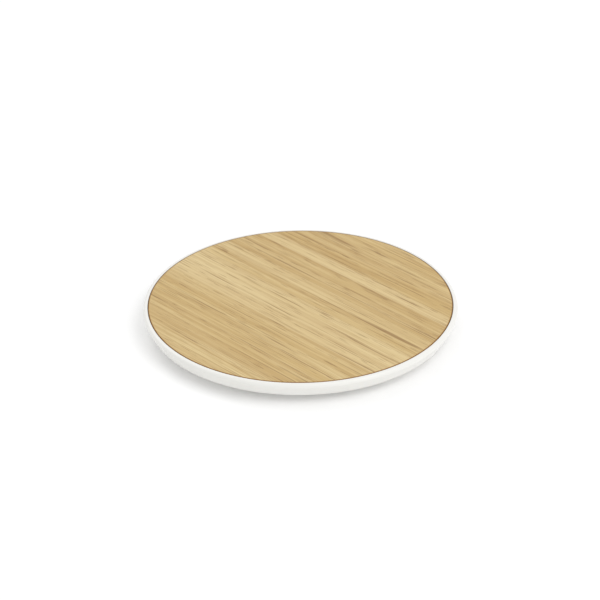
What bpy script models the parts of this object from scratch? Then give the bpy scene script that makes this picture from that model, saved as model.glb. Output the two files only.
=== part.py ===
"""Round wireless charging pad with a bamboo top.

Two white shells are screwed together from below and hold a flat charging coil, its ferrite
shield and a driver board with a micro-B inlet. Lengths are in metres and +Z is up. The origin
is on the surface that the pad stands on, under its centre. The inlet faces +Y and the grain of
the bamboo runs along X.
"""

import math

import bmesh
import bpy
from mathutils import Vector

# Outer form
PAD_RADIUS = 0.0500
PAD_HEIGHT = 0.0075
ROUND_STEPS = 64
SMALL_STEPS = 20
OVERLAP = 0.0002
BEYOND = 0.0020
LAYER_GAP = 0.00005

# Bamboo disc and the pocket that it lies in
DISC_RADIUS = 0.04845
DISC_THICKNESS = 0.0012
DISC_EDGE_BEVEL = 0.00015
POCKET_RADIUS = 0.04872
ADHESIVE_RADIUS = 0.0478
ADHESIVE_THICKNESS = 0.00015

# Upper housing
LIP_RADIUS = 0.0011
CREST_ROUNDING = 0.0003
BAND_TAPER_DEG = 26.0
BAND_EDGE_ROUNDING = 0.0004
HOUSING_BOTTOM = 0.00345
INNER_WALL_RADIUS = 0.0472
CEILING = 0.00505
POCKET_FLOOR = PAD_HEIGHT - DISC_THICKNESS - ADHESIVE_THICKNESS - 2 * LAYER_GAP
COIL_RIB_INNER = 0.0228
COIL_RIB_OUTER = 0.0236
COIL_RIB_BOTTOM = 0.00405
LEAD_GAP_X = (-0.0110, -0.0045)
LEAD_GAP_Y = (0.0170, 0.0260)
LEAD_GAP_BOTTOM = 0.0039

# Base cover
BASE_BOTTOM = 0.0009
BASE_FLOOR = 0.0021
BASE_BOTTOM_RADIUS = 0.0430
BASE_TOP_RADIUS = 0.0482
BASE_SHOULDER = 0.0033
BASE_FLOOR_RADIUS = 0.0424
LOCATING_LIP_INNER = 0.0460
LOCATING_LIP_OUTER = 0.04685
LOCATING_LIP_TOP = 0.00385
FERRITE_RIB_INNER = 0.0247
FERRITE_RIB_OUTER = 0.0255
FERRITE_RIB_TOP = 0.0030
BASE_EDGE_BEVEL = 0.0002
BASE_CORNER_RUN = 0.0006
BASE_CORNER_RISE = 0.0001
LEAD_WAY_HALF_WIDTH = 0.0026

# Screws, their bosses and the feet, all on one circle
FASTENER_CIRCLE = 0.0340
FASTENER_COUNT = 4
BOSS_RADIUS = 0.0023
BOSS_BOTTOM = 0.00295
PILOT_RADIUS = 0.00105
PILOT_TOP = 0.00565
SCREW_PAD_RADIUS = 0.0032
SCREW_PAD_TOP = 0.0029
SCREW_HOLE_RADIUS = 0.0012
SCREW_SEAT = 0.00205
HEAD_RECESS_RADIUS = 0.0021
SCREW_RADIUS = 0.00095
SCREW_TIP_BEVEL = 0.0003
SCREW_LENGTH = 0.0035
SCREW_HEAD_RADIUS = 0.00185
SCREW_HEAD_HEIGHT = 0.00065
SCREW_HEAD_BEVEL = 0.0002
SCREW_CROSS_WIDTH = 0.0004
SCREW_CROSS_LENGTH = 0.0019
SCREW_CROSS_DEPTH = 0.0004
FOOT_POCKET_RADIUS = 0.0047
FOOT_POCKET_TOP = 0.0013
FOOT_RADIUS = 0.0045
FOOT_HEIGHT = 0.00125
FOOT_EDGE_ROUNDING = 0.0003

# Inlet at the back
PORT_FACE = 0.04805
PORT_CENTRE_Z = 0.0036
PORT_OPENING_HALF_WIDTH = 0.0041
PORT_OPENING_HALF_HEIGHT = 0.0014
PORT_CORNER = 0.0006
PORT_OPENING_BACK = 0.0455
PORT_RECESS_HALF_WIDTH = 0.0068
PORT_RECESS_TOP = 0.0056
CHIN_BOTTOM = 0.0016
CHIN_BACK = 0.0436
SEAM_CLEARANCE = 0.00002
BOARD_POCKET_HALF_WIDTH = 0.0066
BOARD_POCKET_END = 0.0460
SOCKET_HALF_WIDTH = 0.00375
SOCKET_CHAMFER_HALF_WIDTH = 0.00275
SOCKET_HALF_HEIGHT = 0.00125
SOCKET_WALL = 0.0003
SOCKET_FRONT = 0.04745
SOCKET_DEPTH = 0.0050
WING_START = 0.00357
WING_REACH = 0.0056
WING_Y = (0.0434, 0.0450)
WING_THICKNESS = 0.00025
INSULATOR_HALF_WIDTH = 0.0024
INSULATOR_HALF_HEIGHT = 0.00085
INSULATOR_FRONT = 0.0440
TONGUE_HALF_WIDTH = 0.00175
TONGUE_FRONT = 0.0469
TONGUE_BOTTOM = PORT_CENTRE_Z - 0.00015
TONGUE_TOP = PORT_CENTRE_Z + 0.00045
CONTACT_PITCH = 0.00065
CONTACT_COUNT = 5
CONTACT_HALF_WIDTH = 0.00014
CONTACT_THICKNESS = 0.00012
CONTACT_BOTTOM = 0.00327
CONTACT_Y = (0.0411, 0.0466)
CONTACT_SLOT_CLEARANCE = 0.00008

# Driver board
BOARD_BOTTOM = 0.0024
BOARD_TOP = 0.0032
BOARD_INNER_RADIUS = 0.0270
BOARD_OUTER_RADIUS = 0.0420
BOARD_HALF_ANGLE_DEG = 36.0
BOARD_ARM_HALF_WIDTH = 0.0062
BOARD_ARM_END = 0.0455
BOARD_NOTCH_HALF_WIDTH = 0.00395
BOARD_NOTCH_END = 0.0421
BOARD_PIN_CIRCLE = 0.0403
BOARD_PIN_ANGLE_DEG = 33.5
BOARD_PIN_RADIUS = 0.0010
BOARD_PIN_TOP = BOARD_TOP - 0.0001
BOARD_PIN_HOLE_RADIUS = 0.0012
BOARD_REST_RADIUS = 0.0018
CHIP_BASE = BOARD_TOP + LAYER_GAP

# Components on the board: circle, degrees from +Y, (length, width, height), material
CHIPS = {
    "controller_chip": (0.0350, 6.0, (0.0050, 0.0050, 0.00085), "black_plastic"),
    "regulator_chip": (0.0385, 13.0, (0.0029, 0.0016, 0.0011), "black_plastic"),
    "sense_resistor": (0.0320, -8.0, (0.0032, 0.0016, 0.0006), "resistor"),
    "status_light": (0.0411, 14.0, (0.0020, 0.0010, 0.0012), "light_source"),
}
POWER_STAGE_CIRCLE = 0.0374
POWER_STAGE_DEGREES = (-19.0, 24.5)
PACKAGE_LENGTH = 0.0050
PACKAGE_WIDTH = 0.0040
PACKAGE_BOTTOM = 0.0001
PACKAGE_TOP = 0.0015
LEADS_PER_SIDE = 4
LEAD_PITCH = 0.00127
LEAD_HALF_WIDTH = 0.0002
LEAD_REACH = 0.0030
LEAD_BOTTOM = 0.00002
LEAD_TOP = 0.0003
RESONANT_CIRCLES = (0.0289, 0.0319)
RESONANT_DEGREES = (-30.8, -23.6)
RESONANT_SIZE = (0.0032, 0.0025, 0.0016)
INPUT_CIRCLE = 0.0396
INPUT_DEGREES = (-4.0, 2.0)
INPUT_SIZE = (0.0020, 0.00125, 0.00125)
END_CAP_SHARE = 0.18
END_CAP_PROUD = 0.00005
RESISTOR_COUNT = 6
RESISTOR_CIRCLE = 0.0300
RESISTOR_FIRST_DEG = 9.0
RESISTOR_STEP_DEG = 4.2
RESISTOR_SIZE = (0.0016, 0.0008, 0.00045)

# Charging coil, its tape and the ferrite under it
COIL_TURNS = 10
COIL_POINTS_PER_TURN = 20
COIL_PITCH = 0.00113
COIL_START_RADIUS = 0.0107
COIL_START_DEG = 105.0
LITZ_RADIUS = 0.00054
COIL_LEVEL = 0.00438
LITZ_SLOT_LEVEL = 0.00295
LITZ_PAD_LEVEL = 0.0038
COIL_TAPE_INNER = 0.0110
COIL_TAPE_OUTER = 0.0225
COIL_TAPE_BOTTOM = 0.0036
FERRITE_RADIUS = 0.0244
FERRITE_BOTTOM = 0.0024
FERRITE_TOP = 0.00355
FERRITE_SLOT_HALF_WIDTH = 0.0022
FERRITE_SLOT_START = 0.0065
FERRITE_TAPE_BOTTOM = 0.00215

# Temperature sensor in the middle of the coil
SENSOR_BEAD_RADIUS = 0.00065
SENSOR_BEAD_PLACE = (0.0014, 0.0020, 0.0043)
SENSOR_LEAD_RADIUS = 0.00015
SENSOR_LEAD_SPREAD = 0.0003

# Status light
LIGHT_ANGLE_DEG = 14.0
LIGHT_LEVEL = 0.0044
LIGHT_PIPE_RADIUS = 0.0005
LIGHT_HOLE_RADIUS = 0.0006
LIGHT_PIPE_START = 0.0423
LIGHT_PIPE_END = 0.0490

# Materials: base colour, roughness, metallic
MATERIALS = {
    "bamboo": ((0.60, 0.45, 0.25), 0.55, 0.0),
    "white_plastic": ((0.86, 0.85, 0.82), 0.40, 0.0),
    "adhesive": ((0.75, 0.73, 0.66), 0.60, 0.0),
    "copper_litz": ((0.70, 0.33, 0.16), 0.40, 1.0),
    "ferrite": ((0.05, 0.05, 0.055), 0.55, 0.0),
    "board": ((0.02, 0.16, 0.07), 0.45, 0.0),
    "nickel_steel": ((0.62, 0.61, 0.58), 0.30, 1.0),
    "gold_contact": ((0.85, 0.62, 0.25), 0.25, 1.0),
    "black_plastic": ((0.02, 0.02, 0.022), 0.45, 0.0),
    "capacitor": ((0.42, 0.30, 0.19), 0.50, 0.0),
    "resistor": ((0.06, 0.06, 0.065), 0.45, 0.0),
    "light_source": ((0.80, 0.78, 0.62), 0.35, 0.0),
    "clear_plastic": ((0.85, 0.87, 0.88), 0.10, 0.0),
    "screw_steel": ((0.55, 0.55, 0.56), 0.35, 1.0),
    "foot_rubber": ((0.20, 0.20, 0.21), 0.80, 0.0),
}


# ---------------------------------------------------------------- scene, objects and materials

def clear_scene():
    """Remove every object of the scene that the script starts in."""
    for obj in list(bpy.data.objects):
        bpy.data.objects.remove(obj, do_unlink=True)


def new_collection(name):
    """A collection linked to the scene."""
    group = bpy.data.collections.new(name)
    bpy.context.scene.collection.children.link(group)
    return group


def new_material(name):
    """The Principled material described by the table above."""
    color, roughness, metallic = MATERIALS[name]
    mat = bpy.data.materials.new(name)
    mat.use_nodes = True
    shader = mat.node_tree.nodes["Principled BSDF"]
    shader.inputs["Base Color"].default_value = (*color, 1.0)
    shader.inputs["Roughness"].default_value = roughness
    shader.inputs["Metallic"].default_value = metallic
    return mat


def place(obj, material_name):
    """Put a finished object among the parts, with its material."""
    parts.objects.link(obj)
    obj.data.materials.clear()
    obj.data.materials.append(materials[material_name])
    return obj


def mesh_part(name, bm, material_name):
    """A part from a bmesh."""
    return place(bpy.data.objects.new(name, mesh_from(name, bm)), material_name)


def mesh_from(name, bm):
    """Turn a bmesh into a mesh with smooth round faces, and free it."""
    mesh = bpy.data.meshes.new(name)
    bm.to_mesh(mesh)
    bm.free()
    shade(mesh)
    return mesh


def shade(mesh):
    """Smooth shading, with edges above 30 degrees kept sharp."""
    mesh.shade_smooth()
    mesh.set_sharp_from_angle(angle=math.radians(30))


def tool(name, bm):
    """A body that only cuts or joins others: it stays out of the object itself."""
    obj = bpy.data.objects.new(name, mesh_from(name, bm))
    tools.objects.link(obj)
    obj.hide_render = True
    obj.display_type = "WIRE"
    return obj


def combine(obj, other, operation):
    """Boolean of a part with a tool body."""
    step = obj.modifiers.new(other.name, "BOOLEAN")
    step.operation = operation
    step.solver = "EXACT"
    step.object = other


def as_mesh(obj):
    """Replace a curve or a turned profile by the mesh that it evaluates to."""
    bpy.context.view_layer.update()
    evaluated = obj.evaluated_get(bpy.context.evaluated_depsgraph_get())
    mesh = bpy.data.meshes.new_from_object(evaluated)
    bm = bmesh.new()
    bm.from_mesh(mesh)
    bmesh.ops.remove_doubles(bm, verts=bm.verts, dist=0.000001)
    bm.to_mesh(mesh)
    bm.free()
    shade(mesh)
    solid = bpy.data.objects.new(obj.name, mesh)
    solid.matrix_world = obj.matrix_world.copy()
    group = obj.users_collection[0]
    name = obj.name
    bpy.data.objects.remove(obj, do_unlink=True)
    group.objects.link(solid)
    solid.name = name
    return solid


# ---------------------------------------------------------------- shapes

def polar(radius, degrees):
    """Point at an angle from +Y, positive towards +X."""
    angle = math.radians(degrees)
    return (radius * math.sin(angle), radius * math.cos(angle))


def fastener_places():
    """Centres of the four screws, bosses and feet."""
    first = 45.0
    step = 360.0 / FASTENER_COUNT
    return [polar(FASTENER_CIRCLE, first + step * i) for i in range(FASTENER_COUNT)]


def arc(centre_x, centre_y, radius, start_deg, end_deg, count):
    """Points on an arc, both ends included."""
    points = []
    for i in range(count):
        angle = math.radians(start_deg + (end_deg - start_deg) * i / (count - 1))
        points.append((centre_x + radius * math.cos(angle), centre_y + radius * math.sin(angle)))
    return points


def add_box(bm, low, high):
    """Add a box between two corners and return its vertices."""
    verts = bmesh.ops.create_cube(bm, size=1.0)["verts"]
    low = Vector(low)
    high = Vector(high)
    bmesh.ops.scale(bm, vec=high - low, verts=verts)
    bmesh.ops.translate(bm, vec=(low + high) / 2, verts=verts)
    return verts


def add_cylinder(bm, centre, radius, bottom, top, steps=SMALL_STEPS):
    """Add an upright cylinder and return its vertices."""
    verts = bmesh.ops.create_cone(bm, cap_ends=True, segments=steps, radius1=radius,
                                  radius2=radius, depth=top - bottom)["verts"]
    bmesh.ops.translate(bm, vec=(centre[0], centre[1], (top + bottom) / 2), verts=verts)
    return verts


def cylinders(name, centres, radius, bottom, top, steps=SMALL_STEPS):
    """One tool body made of equal upright cylinders."""
    bm = bmesh.new()
    for centre in centres:
        add_cylinder(bm, centre, radius, bottom, top, steps)
    return tool(name, bm)


def box_tool(name, low, high):
    """A box as a tool body."""
    bm = bmesh.new()
    add_box(bm, low, high)
    return tool(name, bm)


def slot_tool(name, low, high, corner):
    """A box along Y with rounded corners, as a tool body."""
    bm = bmesh.new()
    add_box(bm, low, high)
    along_y = [e for e in bm.edges if abs(e.verts[0].co.y - e.verts[1].co.y) > corner]
    bmesh.ops.bevel(bm, geom=along_y, offset=corner, segments=3, profile=0.5, affect="EDGES")
    return tool(name, bm)


def turned(name, profile, material_name, steps=ROUND_STEPS, closed=False):
    """A solid turned about Z from (radius, height) points that run down its outer side."""
    points = [(radius, 0.0, height) for radius, height in profile]
    edges = [(i, i + 1) for i in range(len(points) - 1)]
    if closed:
        edges.append((len(points) - 1, 0))
    mesh = bpy.data.meshes.new(name)
    mesh.from_pydata(points, edges, [])
    obj = place(bpy.data.objects.new(name, mesh), material_name)
    screw = obj.modifiers.new("Turn", "SCREW")
    screw.axis = "Z"
    screw.steps = steps
    screw.render_steps = steps
    screw.use_merge_vertices = True
    screw.merge_threshold = 0.000001
    return as_mesh(obj)


def ring(name, inner, outer, bottom, top, material_name):
    """A flat ring."""
    profile = [(inner, top), (outer, top), (outer, bottom), (inner, bottom)]
    return turned(name, profile, material_name, closed=True)


def disc(name, radius, bottom, top, material_name):
    """A flat disc."""
    return turned(name, [(0.0, top), (radius, top), (radius, bottom), (0.0, bottom)], material_name)


def plate(name, outlines, bottom, top, material_name):
    """A flat plate from closed outlines: the first is its edge, the others are holes."""
    curve = bpy.data.curves.new(name, "CURVE")
    curve.dimensions = "2D"
    curve.fill_mode = "BOTH"
    curve.extrude = (top - bottom) / 2
    for outline in outlines:
        spline = curve.splines.new("POLY")
        spline.points.add(len(outline) - 1)
        for point, (x, y) in zip(spline.points, outline):
            point.co = (x, y, 0.0, 1.0)
        spline.use_cyclic_u = True
    obj = place(bpy.data.objects.new(name, curve), material_name)
    obj.location.z = (top + bottom) / 2
    return obj


def wire(name, points, radius, material_name):
    """A round wire through points."""
    curve = bpy.data.curves.new(name, "CURVE")
    curve.dimensions = "3D"
    curve.bevel_depth = radius
    curve.bevel_resolution = 2
    curve.use_fill_caps = True
    spline = curve.splines.new("POLY")
    spline.points.add(len(points) - 1)
    for point, place_at in zip(spline.points, points):
        point.co = (*place_at, 1.0)
    return place(bpy.data.objects.new(name, curve), material_name)


def chip(name, radius, degrees, size, material_name):
    """A box-shaped component on the board, turned to face the board's centre."""
    bm = bmesh.new()
    length, width, height = size
    add_box(bm, (-length / 2, -width / 2, 0.0), (length / 2, width / 2, height))
    return set_on_board(mesh_part(name, bm, material_name), radius, degrees)


def set_on_board(obj, radius, degrees):
    """Place a component at a polar position on the board."""
    obj.location = (*polar(radius, degrees), CHIP_BASE)
    obj.rotation_euler.z = -math.radians(degrees)
    return obj


# ---------------------------------------------------------------- top disc

def make_bamboo_disc():
    """The flush bamboo disc with its top edge broken, and the adhesive film under it."""
    top = PAD_HEIGHT
    bottom = PAD_HEIGHT - DISC_THICKNESS
    profile = [
        (0.0, top),
        (DISC_RADIUS - DISC_EDGE_BEVEL, top),
        (DISC_RADIUS, top - DISC_EDGE_BEVEL),
        (DISC_RADIUS, bottom),
        (0.0, bottom),
    ]
    turned("bamboo_disc", profile, "bamboo")
    film_top = bottom - LAYER_GAP
    disc("disc_adhesive", ADHESIVE_RADIUS, film_top - ADHESIVE_THICKNESS, film_top, "adhesive")


# ---------------------------------------------------------------- shells

def band_profile():
    """Outer side of the upper housing: a rounded lip, its crest and a band that tapers inward."""
    crest = PAD_HEIGHT - LIP_RADIUS
    crest_centre = PAD_RADIUS - CREST_ROUNDING
    taper = math.radians(BAND_TAPER_DEG)
    band_offset = crest_centre * math.cos(taper) - crest * math.sin(taper) + CREST_ROUNDING
    edge_z = HOUSING_BOTTOM + BAND_EDGE_ROUNDING
    edge_r = (band_offset - BAND_EDGE_ROUNDING + edge_z * math.sin(taper)) / math.cos(taper)
    lip = arc(PAD_RADIUS - LIP_RADIUS, crest, LIP_RADIUS, 90, 0, 6)
    corner = arc(crest_centre, crest, CREST_ROUNDING, 0, -BAND_TAPER_DEG, 3)
    edge = arc(edge_r, edge_z, BAND_EDGE_ROUNDING, -BAND_TAPER_DEG, -90, 4)
    return lip + corner[1:] + edge


def port_opening():
    """The inlet's opening, which both shells share."""
    low = (-PORT_OPENING_HALF_WIDTH, PORT_OPENING_BACK, PORT_CENTRE_Z - PORT_OPENING_HALF_HEIGHT)
    high = (PORT_OPENING_HALF_WIDTH, PAD_RADIUS + BEYOND, PORT_CENTRE_Z + PORT_OPENING_HALF_HEIGHT)
    return slot_tool("port_opening", low, high, PORT_CORNER)


def light_hole():
    """A round hole through the band for the light pipe."""
    bm = bmesh.new()
    add_cylinder(bm, (0.0, 0.0), LIGHT_HOLE_RADIUS, INNER_WALL_RADIUS - BEYOND, PAD_RADIUS + BEYOND, 16)
    obj = tool("light_hole", bm)
    obj.rotation_euler = (-math.pi / 2, 0.0, -math.radians(LIGHT_ANGLE_DEG))
    obj.location.z = LIGHT_LEVEL
    return obj


def make_upper_housing(opening):
    """The white top shell: disc pocket, lip, band, screw bosses and the coil's locating rib."""
    profile = [(0.0, POCKET_FLOOR), (POCKET_RADIUS, POCKET_FLOOR), (POCKET_RADIUS, PAD_HEIGHT)]
    profile += band_profile()
    profile += [
        (INNER_WALL_RADIUS, HOUSING_BOTTOM),
        (INNER_WALL_RADIUS, CEILING),
        (COIL_RIB_OUTER, CEILING),
        (COIL_RIB_OUTER, COIL_RIB_BOTTOM),
        (COIL_RIB_INNER, COIL_RIB_BOTTOM),
        (COIL_RIB_INNER, CEILING),
        (0.0, CEILING),
    ]
    housing = turned("upper_housing", profile, "white_plastic")
    places = fastener_places()
    bosses = cylinders("bosses", places, BOSS_RADIUS, BOSS_BOTTOM, CEILING + OVERLAP)
    pilots = cylinders("pilots", places, PILOT_RADIUS, BOSS_BOTTOM - OVERLAP, PILOT_TOP, 16)
    lead_gap = box_tool("lead_gap", (LEAD_GAP_X[0], LEAD_GAP_Y[0], LEAD_GAP_BOTTOM),
                        (LEAD_GAP_X[1], LEAD_GAP_Y[1], CEILING + OVERLAP / 2))
    recess = slot_tool("port_recess", (-PORT_RECESS_HALF_WIDTH, PORT_FACE, BASE_BOTTOM),
                       (PORT_RECESS_HALF_WIDTH, PAD_RADIUS + BEYOND, PORT_RECESS_TOP), PORT_CORNER)
    combine(housing, bosses, "UNION")
    for cutter in (pilots, lead_gap, recess, opening, light_hole()):
        combine(housing, cutter, "DIFFERENCE")


def chin():
    """The block under the band that gives the inlet a flat face."""
    bm = bmesh.new()
    verts = add_box(bm, (-PORT_RECESS_HALF_WIDTH, CHIN_BACK, BASE_BOTTOM + LAYER_GAP),
                    (PORT_RECESS_HALF_WIDTH, PORT_FACE, BASE_SHOULDER - SEAM_CLEARANCE))
    for vert in verts:
        if vert.co.y > (CHIN_BACK + PORT_FACE) / 2 and vert.co.z < CHIN_BOTTOM:
            vert.co.z = CHIN_BOTTOM
    return tool("chin", bm)


def make_base_cover(opening):
    """The saucer-shaped bottom shell: locating lip, screw pads, foot pockets and board rests."""
    profile = [
        (0.0, BASE_FLOOR),
        (FERRITE_RIB_INNER, BASE_FLOOR),
        (FERRITE_RIB_INNER, FERRITE_RIB_TOP),
        (FERRITE_RIB_OUTER, FERRITE_RIB_TOP),
        (FERRITE_RIB_OUTER, BASE_FLOOR),
        (BASE_FLOOR_RADIUS, BASE_FLOOR),
        (LOCATING_LIP_INNER, BASE_SHOULDER),
        (LOCATING_LIP_INNER, LOCATING_LIP_TOP),
        (LOCATING_LIP_OUTER, LOCATING_LIP_TOP),
        (LOCATING_LIP_OUTER, BASE_SHOULDER),
        (BASE_TOP_RADIUS - BASE_EDGE_BEVEL, BASE_SHOULDER),
        (BASE_TOP_RADIUS, BASE_SHOULDER - BASE_EDGE_BEVEL),
        (BASE_BOTTOM_RADIUS + BASE_CORNER_RUN, BASE_BOTTOM + BASE_CORNER_RISE),
        (BASE_BOTTOM_RADIUS, BASE_BOTTOM),
        (0.0, BASE_BOTTOM),
    ]
    base = turned("base_cover", profile, "white_plastic")
    places = fastener_places()
    pins = [polar(BOARD_PIN_CIRCLE, side * BOARD_PIN_ANGLE_DEG) for side in (-1, 1)]
    inside = BASE_FLOOR - OVERLAP
    additions = [
        cylinders("screw_pads", places, SCREW_PAD_RADIUS, inside, SCREW_PAD_TOP),
        cylinders("board_rests", pins, BOARD_REST_RADIUS, inside, BOARD_BOTTOM - LAYER_GAP, 16),
        cylinders("board_pins", pins, BOARD_PIN_RADIUS, inside + OVERLAP / 2, BOARD_PIN_TOP, 12),
        chin(),
    ]
    for body in additions:
        combine(base, body, "UNION")
    cutters = [
        cylinders("foot_pockets", places, FOOT_POCKET_RADIUS, BASE_BOTTOM - OVERLAP, FOOT_POCKET_TOP, 32),
        cylinders("head_recesses", places, HEAD_RECESS_RADIUS, FOOT_POCKET_TOP - OVERLAP, SCREW_SEAT),
        cylinders("screw_holes", places, SCREW_HOLE_RADIUS, SCREW_SEAT - OVERLAP,
                  SCREW_PAD_TOP + OVERLAP, 16),
        box_tool("lead_way", (-LEAD_WAY_HALF_WIDTH, FERRITE_RIB_INNER - BEYOND, BASE_FLOOR + OVERLAP / 2),
                 (LEAD_WAY_HALF_WIDTH, FERRITE_RIB_OUTER + BEYOND, FERRITE_RIB_TOP + BEYOND)),
        box_tool("board_pocket",
                 (-BOARD_POCKET_HALF_WIDTH, BOARD_OUTER_RADIUS - BEYOND, BASE_FLOOR + LAYER_GAP),
                 (BOARD_POCKET_HALF_WIDTH, BOARD_POCKET_END, LOCATING_LIP_TOP + OVERLAP)),
        opening,
    ]
    for cutter in cutters:
        combine(base, cutter, "DIFFERENCE")


# ---------------------------------------------------------------- coil and shield

def coil_points():
    """The litz wire: its inner lead under the turns, the flat spiral, and its outer lead."""
    points = [
        (0.0, 0.0290, LITZ_PAD_LEVEL),
        (0.0, 0.0273, LITZ_PAD_LEVEL),
        (0.0, 0.0258, 0.0034),
        (0.0, 0.0244, LITZ_SLOT_LEVEL),
        (0.0, 0.0106, LITZ_SLOT_LEVEL),
        (-0.0001, 0.0099, 0.0031),
        (-0.0004, 0.0093, 0.0035),
        (-0.0010, 0.0092, 0.0040),
        (-0.0018, 0.0097, 0.0043),
    ]
    for i in range(COIL_TURNS * COIL_POINTS_PER_TURN + 1):
        turn = i / COIL_POINTS_PER_TURN
        angle = math.radians(COIL_START_DEG + 360.0 * turn)
        radius = COIL_START_RADIUS + COIL_PITCH * turn
        points.append((radius * math.cos(angle), radius * math.sin(angle), COIL_LEVEL))
    points += [
        (-0.0072, 0.0214, COIL_LEVEL),
        (-0.0081, 0.0220, COIL_LEVEL),
        (-0.0085, 0.0230, COIL_LEVEL),
        (-0.0086, 0.0246, 0.0042),
        (-0.0086, 0.0262, LITZ_PAD_LEVEL),
        (-0.0086, 0.0284, LITZ_PAD_LEVEL),
    ]
    return points


def make_coil_stack():
    """Coil, the tape under it, the slotted ferrite disc and the tape that holds it to the base."""
    wire("charging_coil", coil_points(), LITZ_RADIUS, "copper_litz")
    ring("coil_tape", COIL_TAPE_INNER, COIL_TAPE_OUTER, COIL_TAPE_BOTTOM,
         COIL_TAPE_BOTTOM + ADHESIVE_THICKNESS, "adhesive")
    ferrite = disc("ferrite_shield", FERRITE_RADIUS, FERRITE_BOTTOM, FERRITE_TOP, "ferrite")
    slot = box_tool("ferrite_slot",
                    (-FERRITE_SLOT_HALF_WIDTH, FERRITE_SLOT_START, FERRITE_BOTTOM - OVERLAP),
                    (FERRITE_SLOT_HALF_WIDTH, FERRITE_RADIUS + BEYOND, FERRITE_TOP + OVERLAP))
    combine(ferrite, slot, "DIFFERENCE")
    disc("ferrite_tape", FERRITE_RADIUS, FERRITE_TAPE_BOTTOM, FERRITE_TAPE_BOTTOM + ADHESIVE_THICKNESS,
         "adhesive")


def make_temperature_sensor():
    """The bead in the middle of the coil and its two leads, which share the ferrite's slot."""
    bm = bmesh.new()
    bmesh.ops.create_uvsphere(bm, u_segments=12, v_segments=8, radius=SENSOR_BEAD_RADIUS)
    bead = mesh_part("sensor_bead", bm, "black_plastic")
    bead.location = SENSOR_BEAD_PLACE
    for i in range(2):
        x = SENSOR_BEAD_PLACE[0] + (2 * i - 1) * SENSOR_LEAD_SPREAD
        points = [
            (x, 0.00285, 0.0043),
            (x, 0.0066, 0.0039),
            (x, 0.0082, 0.0033),
            (x, 0.0094, 0.0027),
            (x, 0.0246, 0.0027),
            (x, 0.0262, 0.00342),
            (x, 0.0282, 0.00342),
        ]
        wire(f"sensor_lead_{i + 1}", points, SENSOR_LEAD_RADIUS, "nickel_steel")


# ---------------------------------------------------------------- driver board

def board_outline():
    """A ring sector with two arms that hold the inlet socket between them."""
    side = BOARD_HALF_ANGLE_DEG
    arm_deg = math.degrees(math.acos(BOARD_ARM_HALF_WIDTH / BOARD_OUTER_RADIUS))
    outline = arc(0.0, 0.0, BOARD_OUTER_RADIUS, 90 - side, arm_deg, 8)
    outline += [
        (BOARD_ARM_HALF_WIDTH, BOARD_ARM_END),
        (BOARD_NOTCH_HALF_WIDTH, BOARD_ARM_END),
        (BOARD_NOTCH_HALF_WIDTH, BOARD_NOTCH_END),
        (-BOARD_NOTCH_HALF_WIDTH, BOARD_NOTCH_END),
        (-BOARD_NOTCH_HALF_WIDTH, BOARD_ARM_END),
        (-BOARD_ARM_HALF_WIDTH, BOARD_ARM_END),
    ]
    outline += arc(0.0, 0.0, BOARD_OUTER_RADIUS, 180 - arm_deg, 90 + side, 8)
    outline += arc(0.0, 0.0, BOARD_INNER_RADIUS, 90 + side, 90 - side, 14)
    return outline


def make_board():
    """The circuit board, with a hole for each locating pin."""
    outlines = [board_outline()]
    for side in (-1, 1):
        x, y = polar(BOARD_PIN_CIRCLE, side * BOARD_PIN_ANGLE_DEG)
        outlines.append(arc(x, y, BOARD_PIN_HOLE_RADIUS, 0, 345, 16))
    plate("main_board", outlines, BOARD_BOTTOM, BOARD_TOP, "board")


def make_power_stage(name, degrees):
    """An eight-lead transistor package: its body joined to two rows of leads."""
    half_length, half_width = PACKAGE_LENGTH / 2, PACKAGE_WIDTH / 2
    bm = bmesh.new()
    add_box(bm, (-half_length, -half_width, PACKAGE_BOTTOM), (half_length, half_width, PACKAGE_TOP))
    package = mesh_part(name, bm, "black_plastic")
    leads = bmesh.new()
    for i in range(LEADS_PER_SIDE):
        x = (i - (LEADS_PER_SIDE - 1) / 2) * LEAD_PITCH
        for side in (-1, 1):
            near, far = sorted((side * (half_width - OVERLAP / 2), side * LEAD_REACH))
            add_box(leads, (x - LEAD_HALF_WIDTH, near, LEAD_BOTTOM), (x + LEAD_HALF_WIDTH, far, LEAD_TOP))
    lead_tool = tool(name + "_leads", leads)
    combine(package, lead_tool, "UNION")
    set_on_board(package, POWER_STAGE_CIRCLE, degrees)
    set_on_board(lead_tool, POWER_STAGE_CIRCLE, degrees)


def make_capacitor(name, radius, degrees, size):
    """A ceramic capacitor with end caps that stand slightly proud of its body."""
    length, width, height = size
    cap = length * END_CAP_SHARE
    bm = bmesh.new()
    add_box(bm, (-length / 2 + cap / 2, -width / 2 + END_CAP_PROUD, END_CAP_PROUD),
            (length / 2 - cap / 2, width / 2 - END_CAP_PROUD, height - END_CAP_PROUD))
    body = mesh_part(name, bm, "capacitor")
    ends = bmesh.new()
    for side in (-1, 1):
        near, far = sorted((side * (length / 2 - cap), side * length / 2))
        add_box(ends, (near, -width / 2, 0.0), (far, width / 2, height))
    end_tool = tool(name + "_ends", ends)
    combine(body, end_tool, "UNION")
    set_on_board(body, radius, degrees)
    set_on_board(end_tool, radius, degrees)


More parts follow.
